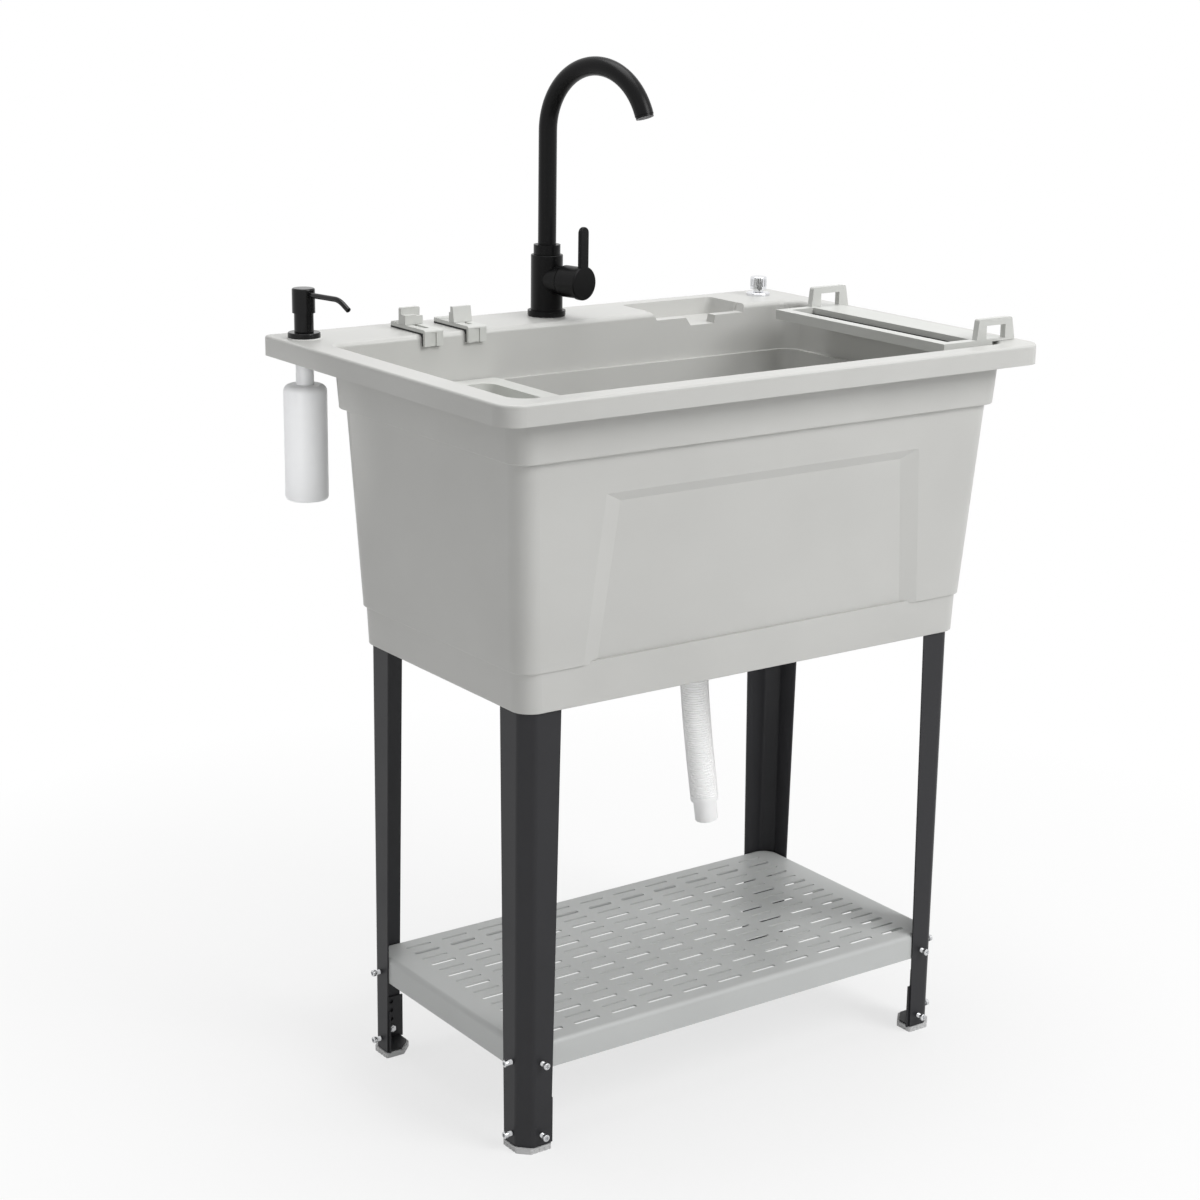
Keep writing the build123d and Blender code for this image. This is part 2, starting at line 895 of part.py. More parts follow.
def nut(grip):
    """Hexagon nut at the inner end of a grip."""
    hexagon = Pos(0, 0, -grip) * RegularPolygon(nut_across_flats / 2, 6, major_radius=False)
    return extrude(hexagon, amount=nut_height) - ring(screw_diameter + 2 * nut_thread_gap, 0, -grip - 1, 2)


def fastener_group(shape, height):
    """A fastener on both flanges of each of the four legs, as one group."""
    solids = []
    for side, inward in leg_corners.values():
        for point, direction in screw_seats(height):
            solids.append(at_corner(aimed(point, direction, shape), side, inward))
    return group(solids)


shelf_grip = leg_sheet + shelf_gap + shelf_boss + nut_height
foot_grip = leg_sheet + bracket_gap + leg_sheet + nut_height
save("shelf_screws", fastener_group(screw(shelf_grip), shelf_screw_height))
save("shelf_nuts", fastener_group(nut(shelf_grip), shelf_screw_height))
save("foot_screws", fastener_group(screw(foot_grip), foot_screw_height))
save("foot_nuts", fastener_group(nut(foot_grip), foot_screw_height))

# ------------------------------------------------------------------ faucet

# Drawn on the deck with the front towards -Y, then turned on its axis and put in place.

collar_bottom = faucet_body_top + swivel_gap
spigot_bottom = faucet_body_top - spout_spigot
spigot_bore = spout_diameter + 2 * running_gap
pivot = Pos(0, -pivot_distance, lever_height)


def along_barrel(shape):
    """Turn a piece drawn along +Z so that it points to the front, with its base at the pivot."""
    return pivot * Rot(90, 0, 0) * shape


def faucet_body():
    """Cast body with its shank, cartridge bore, neck and the socket for the spout."""
    ring_top = faucet_gasket_thickness + faucet_ring_height
    body = ring(faucet_body_diameter, 0, ring_top, faucet_body_top)
    body = fillet(edges_at(body, faucet_body_top), 1.0)
    neck = along_barrel(ring(neck_diameter, 0, -pivot_distance, -8))
    body += neck - pivot * Sphere(joint_sphere)
    body += ring(faucet_shank_diameter, 0, -faucet_shank_length, ring_top)
    body -= along_barrel(ring(cartridge_diameter + 2 * thread_gap, 0, -pivot_distance - cartridge_back, 0))
    body -= ring(spigot_bore, 0, spigot_bottom - swivel_gap, faucet_body_top + 1)
    body -= ring(spigot_bore - 8, 0, lever_height, faucet_body_top)
    for side in (-1, 1):
        channel = ring(inlet_diameter * 0.7, 0, -faucet_shank_length, lever_height)
        inlet = ring(inlet_diameter, 0, -faucet_shank_length - 1, inlet_depth - faucet_shank_length)
        body -= Pos(side * inlet_spacing / 2, 0, 0) * (channel + inlet)
    return body


def spout_curve(diameter, angle):
    """Riser and bend of the spout as a solid rod of a diameter."""
    rod = ring(diameter, 0, spigot_bottom, spout_riser_top)
    section = Pos(0, 0, spout_riser_top) * Circle(diameter / 2)
    bend = revolve(section, Axis((0, -spout_bend_radius, spout_riser_top), (1, 0, 0)), angle)
    return rod + bend


def outlet_frame(distance):
    """Plane across the outlet, a distance short of the end, looking out."""
    angle = math.radians(spout_bend_angle)
    way = Vector(0, -math.sin(angle), math.cos(angle))
    tip = Vector(
        0,
        -spout_bend_radius * (1 - math.cos(angle)),
        spout_riser_top + spout_bend_radius * math.sin(angle),
    )
    return Plane(origin=tip - way * distance, z_dir=way)


seal_low = spigot_bottom + 3
seal_groove = spout_diameter - 2.4


def spout_tube():
    """Bent tube with the groove for its seal and a seat for the aerator."""
    inner = spout_diameter - 2 * spout_wall
    tube = spout_curve(spout_diameter, spout_bend_angle) - spout_curve(inner, spout_bend_angle)
    tube -= outlet_frame(aerator_length - aerator_proud + swivel_gap) * ring(inner, 0, 0, aerator_length)
    tube -= ring(spout_diameter + 2, seal_groove, seal_low - 0.1, seal_low + seal_height + 0.1)
    return tube


def aerator():
    """Insert in the outlet, with a ring of small passages."""
    inner = spout_diameter - 2 * spout_wall - 2 * thread_gap
    body = ring(inner, 0, 0, aerator_length)
    seat = aerator_length - aerator_proud
    body += ring(spout_diameter - 1.2, inner - 2, seat + thread_gap, aerator_length)
    for count, radius in ((6, inner * 0.18), (12, inner * 0.34)):
        for step in range(count):
            turn = 2 * math.pi * step / count
            hole = ring(aerator_hole, 0, -1, aerator_length + 2)
            body -= Pos(radius * math.cos(turn), radius * math.sin(turn), 0) * hole
    return outlet_frame(seat) * body


def lever():
    """Cap over the ball joint, with its front disc and upright paddle."""
    reach = lever_face_distance - pivot_distance
    cap = along_barrel(ring(lever_cap_diameter, 0, -joint_sphere, reach)) & (
        pivot * Sphere(joint_sphere - joint_gap) + along_barrel(ring(lever_cap_diameter, 0, 0, reach))
    )
    disc = along_barrel(ring(lever_disc_diameter, 0, reach - lever_disc_thickness, reach))
    disc = fillet(disc.faces().sort_by(Axis.Y)[0].edges(), 1.5)
    low = lever_height + cap_hollow + 2
    high = paddle_top - paddle_width / 2
    blade = Pos(0, -paddle_distance, 0) * (
        block(-paddle_width / 2, paddle_width / 2, -paddle_thickness / 2, paddle_thickness / 2, low, high)
        + Pos(0, paddle_thickness / 2, high) * Rot(90, 0, 0) * ring(paddle_width, 0, 0, paddle_thickness)
    )
    blade = fillet(blade.faces().sort_by(Axis.Y)[0].edges() + blade.faces().sort_by(Axis.Y)[-1].edges(), 1.2)
    body = cap + disc + blade - pin_hole()
    body -= pivot * Sphere(cap_hollow)
    slot_half = stem_diameter / 2 + joint_gap
    start = math.degrees(math.asin((slot_half + 0.5) / cap_hollow))
    return body - stem_slot(start, slot_half)


def stem_slot(start, half):
    """Slot in the back of the cap, as long as the tilt, that the stem passes through."""
    strip = make_face(
        Polyline(
            (-half, cap_hollow - 2, 0),
            (half, cap_hollow - 2, 0),
            (half, joint_sphere + 1, 0),
            (-half, joint_sphere + 1, 0),
            close=True,
        )
    )
    sector = revolve(Rot(start, 0, 0) * strip, Axis((0, 0, 0), (-1, 0, 0)), lever_tilt + 2 * start)
    return pivot * sector


def pin_hole():
    """Cross hole through the cap for the pin it tilts on."""
    reach = cross_pin_length / 2 + swivel_gap
    return pivot * Rot(0, 90, 0) * ring(cross_pin_diameter + 0.02, 0, -reach, reach)


def cartridge_stem():
    """Stem that the lever turns, with the eye for the cross pin."""
    back = -pivot_distance - cartridge_front - stem_depth
    stem = along_barrel(ring(stem_diameter, 0, back, 0)) + pivot * Sphere(stem_diameter / 2)
    return stem - pivot * Rot(0, 90, 0) * ring(cross_pin_diameter + 2 * running_gap, 0, -8, 8)


def cartridge():
    """Valve cartridge in the barrel, open at its middle for the stem."""
    back = -pivot_distance - cartridge_back + thread_gap
    front = -pivot_distance - cartridge_front
    body = along_barrel(ring(cartridge_diameter, 0, back, front))
    bore = ring(stem_diameter + 2 * running_gap, 0, front - stem_depth - swivel_gap, 0)
    return body - along_barrel(bore)


faucet_pieces = {
    "faucet_body": faucet_body(),
    "faucet_base_ring": ring(
        faucet_ring_diameter,
        faucet_shank_diameter + 2 * thread_gap,
        faucet_gasket_thickness,
        faucet_gasket_thickness + faucet_ring_height,
    ),
    "faucet_gasket": ring(
        faucet_ring_diameter - 1.5, faucet_shank_diameter + 2 * thread_gap, 0, faucet_gasket_thickness
    ),
    "shank_washer": ring(
        washer_diameter, faucet_shank_diameter + 2 * thread_gap, -rim_plate - washer_thickness, -rim_plate
    ),
    "shank_nut": ring(
        shank_nut_diameter,
        faucet_shank_diameter + 2 * thread_gap,
        -rim_plate - washer_thickness - shank_nut_height,
        -rim_plate - washer_thickness,
    ),
    "spout_tube": spout_tube(),
    "spout_collar": ring(
        collar_diameter, spout_diameter + 0.02, collar_bottom, faucet_body_top + collar_height
    ),
    "spout_seal": ring(spout_diameter - 0.1, seal_groove + 0.1, seal_low, seal_low + seal_height),
    "aerator": aerator(),
    "cartridge": cartridge(),
    "cartridge_stem": cartridge_stem(),
    "lever": lever(),
    "lever_pin": pivot
    * Rot(0, 90, 0)
    * ring(cross_pin_diameter, 0, -cross_pin_length / 2, cross_pin_length / 2),
}
for name, shape in faucet_pieces.items():
    save(name, faucet_place * shape)

# ------------------------------------------------------------------ soap pump

# Drawn on the deck with the spout towards -Y, then turned on its axis and put in place.

pump_flange_top = pump_gasket_thickness + pump_flange_thickness
sleeve_bottom = pump_flange_top + swivel_gap
neck_socket_top = -rim_plate - 3.5
neck_top = neck_socket_top - thread_gap
cylinder_top = pump_gasket_thickness - swivel_gap


def pump_collar():
    """Flanged collar through the deck; it guides the sleeve and holds cylinder and bottle."""
    flange = ring(pump_flange_diameter, 0, pump_gasket_thickness, pump_flange_top)
    flange = fillet(edges_at(flange, pump_flange_top), 1.5)
    body = flange + ring(pump_shank_diameter, 0, -pump_shank_length, pump_gasket_thickness + 1)
    body -= ring(sleeve_spigot_diameter + 2 * running_gap, 0, pump_gasket_thickness, pump_flange_top + 1)
    body -= ring(cylinder_diameter + 2 * thread_gap, 0, neck_socket_top - 1, pump_gasket_thickness + 1)
    body -= ring(bottle_neck_diameter + 2 * thread_gap, 0, -pump_shank_length - 1, neck_socket_top)
    return body


def pump_sleeve():
    """Sleeve that turns in the collar and guides the head and its rod."""
    body = ring(sleeve_diameter, 0, sleeve_bottom, sleeve_top)
    body += ring(sleeve_spigot_diameter, 0, pump_gasket_thickness + swivel_gap, sleeve_bottom + 1)
    body -= ring(sleeve_bore, 0, sleeve_bottom + 5, sleeve_top + 1)
    return body - ring(pump_rod_diameter + 2 * running_gap, 0, 0, sleeve_top)


def pump_spout_path():
    """Line of the pump's thin spout, nearly level and then bent down."""
    knee = pump_spout_reach * 0.8
    start = Vector(0, 0, pump_spout_height)
    rise = Vector(0, -knee, pump_spout_height + 1.5)
    tip = Vector(0, -pump_spout_reach, pump_spout_height - pump_spout_drop)
    run = (tip - rise).length
    turn = (rise - start).get_angle(tip - rise)
    radius = 0.45 * run / math.tan(math.radians(turn / 2))
    return FilletPolyline(start, rise, tip, radius=radius)


def pump_head():
    """Press head with its skirt over the sleeve and the thin curved spout."""
    body = ring(pump_head_diameter, 0, pump_head_bottom, pump_head_top)
    body = fillet(edges_at(body, pump_head_top), 2.0)
    path = pump_spout_path()
    start = Plane(origin=path @ 0, z_dir=path % 0)
    body += sweep(start * Circle(pump_spout_diameter / 2), path=path)
    body -= sweep(start * Circle(pump_spout_bore / 2), path=path)
    roof = pump_head_top - pump_head_roof
    body -= ring(sleeve_diameter + 2 * running_gap, 0, pump_head_bottom - 1, roof)
    return body


def pump_rod():
    """Rod from the head's roof down to the piston."""
    rod = ring(pump_rod_diameter, 0, piston_top - piston_height, pump_head_top - pump_head_roof)
    return rod + ring(piston_diameter, 0, piston_top - piston_height, piston_top)


def pump_cylinder():
    """Pump barrel under the deck, with an outlet for the dip tube."""
    body = ring(cylinder_diameter, piston_diameter + 2 * running_gap, cylinder_bottom, cylinder_top)
    lid = cylinder_top - cylinder_end
    body += ring(cylinder_diameter - 1, pump_rod_diameter + 2 * swivel_gap, lid, cylinder_top)
    body += ring(cylinder_diameter - 1, dip_tube_diameter - 2 * dip_tube_wall, cylinder_bottom, spring_seat)
    return body


spring_seat = cylinder_bottom + cylinder_end
spring_top = piston_top - piston_height - swivel_gap


def pump_spring():
    """Return spring between the barrel's end and the piston."""
    radius = (spring_diameter - spring_wire) / 2
    rise = spring_top - spring_seat - spring_wire - swivel_gap
    line = Helix(pitch=rise / spring_turns, height=rise, radius=radius)
    wire = Plane(origin=line @ 0, z_dir=line % 0) * Circle(spring_wire / 2)
    coil = sweep(wire, path=line, is_frenet=True)
    return Pos(0, 0, spring_seat + swivel_gap + spring_wire / 2) * coil


def soap_bottle():
    """Blown bottle with a soft shoulder, hollow, its neck screwed into the collar."""
    radius = bottle_diameter / 2
    neck = bottle_neck_diameter / 2

    def shape(shrink):
        body = ring(2 * (radius - shrink), 0, bottle_bottom + shrink, bottle_shoulder - shrink)
        body = fillet(edges_at(body, bottle_shoulder - shrink), bottle_round + 3 - shrink)
        body = fillet(edges_at(body, bottle_bottom + shrink), bottle_round - shrink)
        return body + ring(2 * (neck - shrink), 0, bottle_shoulder - 2 * bottle_wall, neck_top + shrink)

    return shape(0) - shape(bottle_wall)


def pump_nut():
    """Hexagon nut under the deck."""
    hexagon = Pos(0, 0, -rim_plate - pump_nut_height) * RegularPolygon(pump_nut_diameter / 2, 6)
    bore = ring(pump_shank_diameter + 2 * thread_gap, 0, -rim_plate - pump_nut_height - 1, 0)
    return extrude(hexagon, amount=pump_nut_height) - bore


pump_pieces = {
    "pump_gasket": ring(
        pump_gasket_diameter, pump_shank_diameter + 2 * thread_gap, 0, pump_gasket_thickness
    ),
    "pump_collar": pump_collar(),
    "pump_nut": pump_nut(),
    "pump_sleeve": pump_sleeve(),
    "pump_head": pump_head(),
    "pump_rod": pump_rod(),
    "pump_cylinder": pump_cylinder(),
    "pump_spring": pump_spring(),
    "dip_tube": ring(
        dip_tube_diameter, dip_tube_diameter - 2 * dip_tube_wall, bottle_bottom + 8, cylinder_bottom
    ),
    "soap_bottle": soap_bottle(),
}
for name, shape in pump_pieces.items():
    save(name, pump_place * shape)

# ------------------------------------------------------------------ drain knob

knob_bottom = knob_plinth_height + swivel_gap
knob_body_bottom = knob_bottom + knob_neck_height
knob_top = knob_body_bottom + knob_height


def drain_knob():
    """Fluted knob with its neck and spindle."""
    body = ring(knob_diameter, 0, knob_body_bottom, knob_top)
    body = fillet(edges_at(body, knob_top), 1.5)
    flutes = []
    for step in range(knob_flutes):
        turn = 2 * math.pi * step / knob_flutes
        radius = knob_diameter / 2 + knob_flute_radius * 0.35
        flute = ring(2 * knob_flute_radius, 0, knob_body_bottom + 3.5, knob_top - 3)
        flutes.append(Pos(radius * math.cos(turn), radius * math.sin(turn), 0) * flute)
    body -= flutes
    body += ring(knob_neck_diameter, 0, knob_bottom, knob_body_bottom + 1)
    return body + ring(knob_spindle_diameter, 0, -knob_shank_length - 6, knob_bottom + 1)


def knob_plinth():
    """Round plinth with the threaded shank that the spindle runs in."""
    body = ring(knob_plinth_diameter, 0, 0, knob_plinth_height)
    body = fillet(edges_at(body, knob_plinth_height), 1.2)
    body += ring(knob_shank_diameter, 0, -knob_shank_length, 1)
    bore = knob_spindle_diameter + 2 * running_gap
    return body - ring(bore, 0, -knob_shank_length - 1, knob_plinth_height + 1)


def knob_nut():
    """Hexagon nut under the deck."""
    hexagon = Pos(0, 0, -rim_plate - knob_nut_height) * RegularPolygon(
        knob_nut_across_flats / 2, 6, major_radius=False
    )
    nut_body = extrude(hexagon, amount=knob_nut_height)
    return nut_body - ring(knob_shank_diameter + 2 * thread_gap, 0, -rim_plate - knob_nut_height - 1, 0)


save("drain_knob", knob_place * drain_knob())
save("knob_plinth", knob_place * knob_plinth())
save("knob_nut", knob_place * knob_nut())

# ------------------------------------------------------------------ drain

gasket_bottom = floor_under - drain_gasket_thickness
shank_bottom = floor_top - drain_shank_length
nut_bottom = gasket_bottom - drain_nut_height
hose_top = nut_bottom - tailpiece_cone_height


def drain_flange():
    """Flange in the bowl floor with its threaded throat and a bridge for the stopper."""
    top = floor_top + drain_flange_thickness
    body = ring(drain_flange_diameter, drain_throat_diameter, floor_top, top)
    body = fillet(edges_at(body, top), drain_flange_round)
    body += ring(drain_shank_diameter, drain_throat_diameter, shank_bottom, floor_top + 0.5)
    reach = drain_throat_diameter / 2 + 1
    half = drain_bridge_width / 2
    bridge_top = shank_bottom + 4 + drain_bridge_height
    body += block(-reach, reach, -half, half, shank_bottom + 4, bridge_top)
    body += block(-half, half, -reach, reach, shank_bottom + 4, bridge_top)
    return body - ring(stopper_stem_diameter + 2 * running_gap, 0, shank_bottom, bridge_top + 1)


def drain_stopper():
    """Pop-up stopper disc with its stem."""
    low = floor_top + drain_flange_thickness - stopper_thickness
    disc = ring(stopper_diameter, 0, low, low + stopper_thickness)
    disc = fillet(edges_at(disc, low + stopper_thickness), 1.5)
    return disc + ring(stopper_stem_diameter, 0, low - stopper_stem_length, low + 1)


def drain_tailpiece():
    """Cup nut under the floor that narrows to the hose spigot."""
    body = ring(drain_nut_diameter, 0, nut_bottom, gasket_bottom)
    cone_low = hose_top + swivel_gap
    cone = loft(
        [
            (Pos(0, 0, cone_low) * Circle(hose_diameter / 2 + 1)).face(),
            (Pos(0, 0, nut_bottom) * Circle(drain_nut_diameter / 2 - 3)).face(),
        ],
        ruled=True,
    )
    body += cone + ring(spigot_diameter, 0, hose_top - spigot_length, cone_low + 1)
    cup = ring(drain_shank_diameter + 2 * thread_gap, 0, shank_bottom - 1, gasket_bottom + 1)
    funnel = loft(
        [
            (Pos(0, 0, cone_low) * Circle(spigot_bore / 2)).face(),
            (Pos(0, 0, shank_bottom - 1) * Circle(drain_shank_diameter / 2 + thread_gap)).face(),
        ],
        ruled=True,
    )
    return body - cup - funnel - ring(spigot_bore, 0, hose_top - spigot_length - 1, cone_low)


save("drain_flange", drain_place * drain_flange())
save("drain_stopper", drain_place * drain_stopper())
gasket_ring = ring(drain_gasket_diameter, drain_shank_diameter + 2 * thread_gap, gasket_bottom, floor_under)
save("drain_gasket", drain_place * gasket_ring)
save("drain_tailpiece", drain_place * drain_tailpiece())

# ribbed hose: its route leaves the tailpiece straight down and then leans to the right
hose_points = [
    Vector(drain_x, drain_y, hose_top),
    Vector(drain_x, drain_y, hose_top - hose_straight),
]
for drop, lean in zip(hose_drop, hose_lean):
    hose_points.append(Vector(drain_x + lean, drain_y, hose_top - hose_straight - drop))
hose_radii = []
for before, corner, after in zip(hose_points, hose_points[1:], hose_points[2:]):
    bend_angle = (corner - before).get_angle(after - corner)
    shorter = min((corner - before).length, (after - corner).length)
    hose_radii.append(0.45 * shorter / math.tan(math.radians(bend_angle / 2)))
hose_route = FilletPolyline(*hose_points, radius=hose_radii)
print("hose length", round(hose_route.length, 1), "radii", [round(r) for r in hose_radii])


def circle_on_route(distance, radius):
    """Circle across the hose's route, its X axis kept steady."""
    share = distance / hose_route.length
    across = Plane(origin=hose_route @ share, x_dir=(0, 1, 0), z_dir=hose_route % share)
    return (across * Circle(radius)).face()


def drain_hose():
    """Ribbed hose with its bore; each rib is a crest between two slopes."""
    crest = hose_diameter / 2
    root = crest - hose_rib_depth
    ribs = int((hose_route.length - 2 * hose_rib_pitch) / hose_rib_pitch)
    margin = (hose_route.length - ribs * hose_rib_pitch) / 2
    sections = [circle_on_route(0, crest), circle_on_route(margin * 0.8, crest)]
    for rib in range(ribs):
        start = margin + rib * hose_rib_pitch
        for share, radius in ((0.0, root), (0.3, root), (0.45, crest), (0.85, crest)):
            sections.append(circle_on_route(start + share * hose_rib_pitch, radius))
    sections.append(circle_on_route(hose_route.length - margin * 0.8, root))
    sections.append(circle_on_route(hose_route.length - margin * 0.6, crest))
    sections.append(circle_on_route(hose_route.length, crest))
    bore = sweep(circle_on_route(0, hose_bore / 2), path=hose_route)
    return loft(sections, ruled=True) - bore


hose = drain_hose()
save("drain_hose", hose)
hose_end = Plane(origin=hose_route @ 1, x_dir=(0, 1, 0), z_dir=hose_route % 1)
cuff = ring(hose_diameter - 0.6, cuff_bore, 0, cuff_flange) + ring(cuff_diameter, cuff_bore, 0, cuff_length)
save("hose_cuff", hose_end * cuff)
clamp_top = hose_top - 4
clamp_bore = hose_diameter + 2 * bracket_gap
clamp = ring(clamp_bore + 2 * clamp_thickness, clamp_bore, clamp_top - clamp_width, clamp_top)
save("hose_clamp", drain_place * clamp)

# ------------------------------------------------------------------ clips on the rear edge

edge_y = band_edge(rim_height)[2] - wall
pad_top = rim_height + clip_pad
strip_top = pad_top + clip_strip
hook_rear = band_edge(rim_height - clip_hook_depth)[2] - wall - clip_pad - clip_wall_gap
hook_front = hook_rear - clip_strip
hook_bottom = rim_height - clip_hook_depth
key_front = edge_y + 8
key_rear = clip_rear - 12


def clip_rail(left):
    """Strip lying on the deck with a hook over the bowl's edge, teeth behind and a key groove."""
    right = left + clip_width
    middle = (left + right) / 2
    body = profile_along_x(
        [
            (clip_rear, pad_top),
            (clip_rear, strip_top),
            (hook_front, strip_top),
            (hook_front, hook_bottom),
            (hook_rear, hook_bottom),
            (hook_rear, pad_top),
        ],
        left,
        right,
    )
    front_edge = body.edges().filter_by(Axis.X).filter_by(
        lambda e: abs(e.center().Y - hook_front) < 0.01 and abs(e.center().Z - strip_top) < 0.01
    )
    body = fillet(front_edge, clip_strip * 0.6)
    body -= block(
        middle - clip_groove_width / 2,
        middle + clip_groove_width / 2,
        hook_front - 1,
        hook_front + clip_groove_depth,
        hook_bottom - 1,
        strip_top - 3,
    )
    body -= block(
        middle - key_groove_width / 2,
        middle + key_groove_width / 2,
        key_front,
        key_rear,
        strip_top - key_groove_depth,
        strip_top + 1,
    )
    for tooth in range(clip_teeth):
        y = clip_rear - 1 - tooth * clip_tooth_pitch
        body += profile_along_x(
            [
                (y, strip_top - 0.5),
                (y - clip_tooth_base, strip_top - 0.5),
                (y - clip_tooth_crest, strip_top + clip_tooth_height),
                (y, strip_top + clip_tooth_height),
            ],
            left,
            right,
        )
    return body


def clip_rubber(left):
    """Rubber between the clip and the deck, turned down behind the hook."""
    wall_y = hook_rear + clip_pad
    slope_y = edge_y + opening_round * (2 - math.sqrt(2)) - clip_corner_gap
    return profile_along_x(
        [
            (clip_rear, rim_height),
            (clip_rear, pad_top),
            (hook_rear, pad_top),
            (hook_rear, hook_bottom),
            (wall_y, hook_bottom),
            (wall_y, rim_height - (slope_y - wall_y)),
            (slope_y, rim_height),
        ],
        left,
        left + clip_width,
    )


def key(left, middle_y, length):
    """Key under a jaw that runs in the rail's groove."""
    middle = left + clip_width / 2
    half = key_groove_width / 2 - key_gap
    return block(
        middle - half,
        middle + half,
        middle_y - length / 2,
        middle_y + length / 2,
        strip_top - key_groove_depth + key_gap,
        strip_top + jaw_gap + 1,
    )


def back_jaw(left):
    """Jaw with a tall plate behind two low blocks."""
    base = strip_top + jaw_gap
    right = left + clip_width
    half = back_jaw_plate / 2
    plate = block(left, right, back_jaw_y - half, back_jaw_y + half, base, base + back_jaw_height)
    plate = fillet(plate.edges().filter_by(Axis.Y).sort_by(Axis.Z)[-2:], 2.0)
    front = back_jaw_y - half - back_jaw_block
    step_x = left + back_jaw_block_width
    step_z = base + back_jaw_block_height
    wide = block(left, step_x, front, back_jaw_y, base, step_z)
    low = block(step_x - 1, right, front + 2, back_jaw_y, base, step_z - 1.5)
    return plate + wide + low + key(left, back_jaw_y - 3, key_length)


def front_jaw(left):
    """Jaw with a tall tapered plate in front of a low block."""
    base = strip_top + jaw_gap
    right = left + clip_width
    front = front_jaw_y - front_jaw_plate / 2
    rear = front_jaw_y + front_jaw_plate / 2
    plate = profile_along_x(
        [
            (front, base),
            (rear, base),
            (rear, base + front_jaw_height),
            (rear - front_jaw_top, base + front_jaw_height),
        ],
        left,
        right,
    )
    low = block(left + 3, right - 6, rear - 1, rear + front_jaw_block, base, base + front_jaw_block_height)
    return plate + low + key(left, front_jaw_y + 2, key_length)


clip_lefts = [clip_left, clip_left + clip_spacing]
for number, left in enumerate(clip_lefts, start=1):
    save(f"clip_rail_{number}", clip_rail(left))
    save(f"clip_rubber_{number}", clip_rubber(left))
save("clip_jaw_1", back_jaw(clip_lefts[0]))
save("clip_jaw_2", front_jaw(clip_lefts[1]))

# ------------------------------------------------------------------ side rack

rack_top = rim_height + rack_top_above_rim
rack_bottom = rack_top - rack_bar_height
rack_seat = rim_height + rack_seat_gap
rack_wall = band_edge(rack_bottom)[0] - wall - opening_round - rack_wall_gap


def rack_handle(y_low):
    """Arch handle standing on the rack's right-hand flange."""
    base = rack_top - 1
    top = rim_height + handle_height
    points = [
        (handle_left, base),
        (handle_right, base),
        (handle_right - handle_taper_right, top),
        (handle_left + handle_taper_left, top),
    ]
    arch = profile_along_y(points, y_low, y_low + handle_thickness)
    rounded = arch.edges().filter_by(Axis.Y).sort_by(Axis.Z)[-2:]
    arch = fillet(rounded, 3.0)
    window = block(
        handle_left + handle_leg + 1,
        handle_right - handle_leg - 1,
        y_low - 1,
        y_low + handle_thickness + 1,
        rim_height + handle_sill,
        top - handle_bar,
    )
    return arch - window


def side_rack():
    """Long frame round a slot, with a flange that rests on the right-hand rim."""
    frame = block(rack_left, rack_wall, rack_front, rack_rear, rack_bottom, rack_top)
    frame -= block(
        rack_left + rack_left_bar,
        rack_slot_right,
        rack_front + rack_end_bar,
        rack_rear - rack_end_bar,
        rack_bottom - 1,
        rack_top + 1,
    )
    frame += block(rack_wall - 1, rack_flange_right, rack_front, rack_rear, rack_seat, rack_top)
    for y_low in (rack_front, rack_rear - handle_thickness):
        foot = block(
            rack_flange_right - 1, handle_right, y_low, y_low + handle_thickness, rack_seat, rack_top
        )
        frame += rack_handle(y_low) + foot
    return frame


def rack_rubber():
    """Rubber strip along the foot of the slot's right-hand side."""
    return block(
        rack_slot_right - rubber_width,
        rack_slot_right,
        rack_front + rack_end_bar,
        rack_rear - rack_end_bar,
        rack_bottom,
        rack_bottom + rubber_height,
    )


save("side_rack", side_rack())
save("rack_rubber", rack_rubber())

# ------------------------------------------------------------------ side tray

tray_bottom_of_rim = ledge_height + tray_seat_gap
tray_top = tray_bottom_of_rim + tray_flange
tray_edge = inside(band_edge(ledge_height), wall + tray_end_gap)
tray_right = tray_left + tray_width


def tray_box(grow, depth):
    """Tapered box of the tray's inside, grown by a wall."""
    x_low = tray_left + tray_left_rim - grow
    x_high = tray_right - tray_right_rim + grow
    y_low = tray_edge[1] + tray_front_rim - grow
    y_high = tray_edge[2] - tray_rear_rim + grow
    middle = ((x_low + x_high) / 2, (y_low + y_high) / 2)
    low = Pos(*middle, tray_top - depth) * RectangleRounded(
        x_high - x_low - 2 * tray_draft, y_high - y_low - 2 * tray_draft, tray_corner_radius
    )
    high = Pos(*middle, tray_top) * RectangleRounded(x_high - x_low, y_high - y_low, tray_corner_radius)
    body = tapered(low, high)
    return fillet(edges_at(body, tray_top - depth), tray_round)


def side_tray():
    """Deep tray with a rim that rests on the front and rear ledges."""
    rim = block(tray_left, tray_right, tray_edge[1], tray_edge[2], tray_bottom_of_rim, tray_top)
    uprights = rim.edges().filter_by(Axis.Z).sort_by(Axis.X)
    rim = fillet(uprights[:2], outer_corner_radius - wall)
    rim = fillet(rim.edges().filter_by(Axis.Z).sort_by(Axis.X)[-2:], tray_round)
    body = rim + tray_box(tray_wall, tray_depth + tray_wall)
    return body - tray_box(0, tray_depth)


save("side_tray", side_tray())
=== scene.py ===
# %% [markdown]
# # A laundry sink on folded steel legs
# The solids of this sink were drawn in CAD. Blender adds what the eye wants: a hose with
# ribs, the threads on the screws, true finishes, a studio and a camera. The first lines
# load the solids, which already stand where they should, in metres.

# %% Load the sink
import math

import bmesh
import bpy
from mathutils import Matrix, Vector


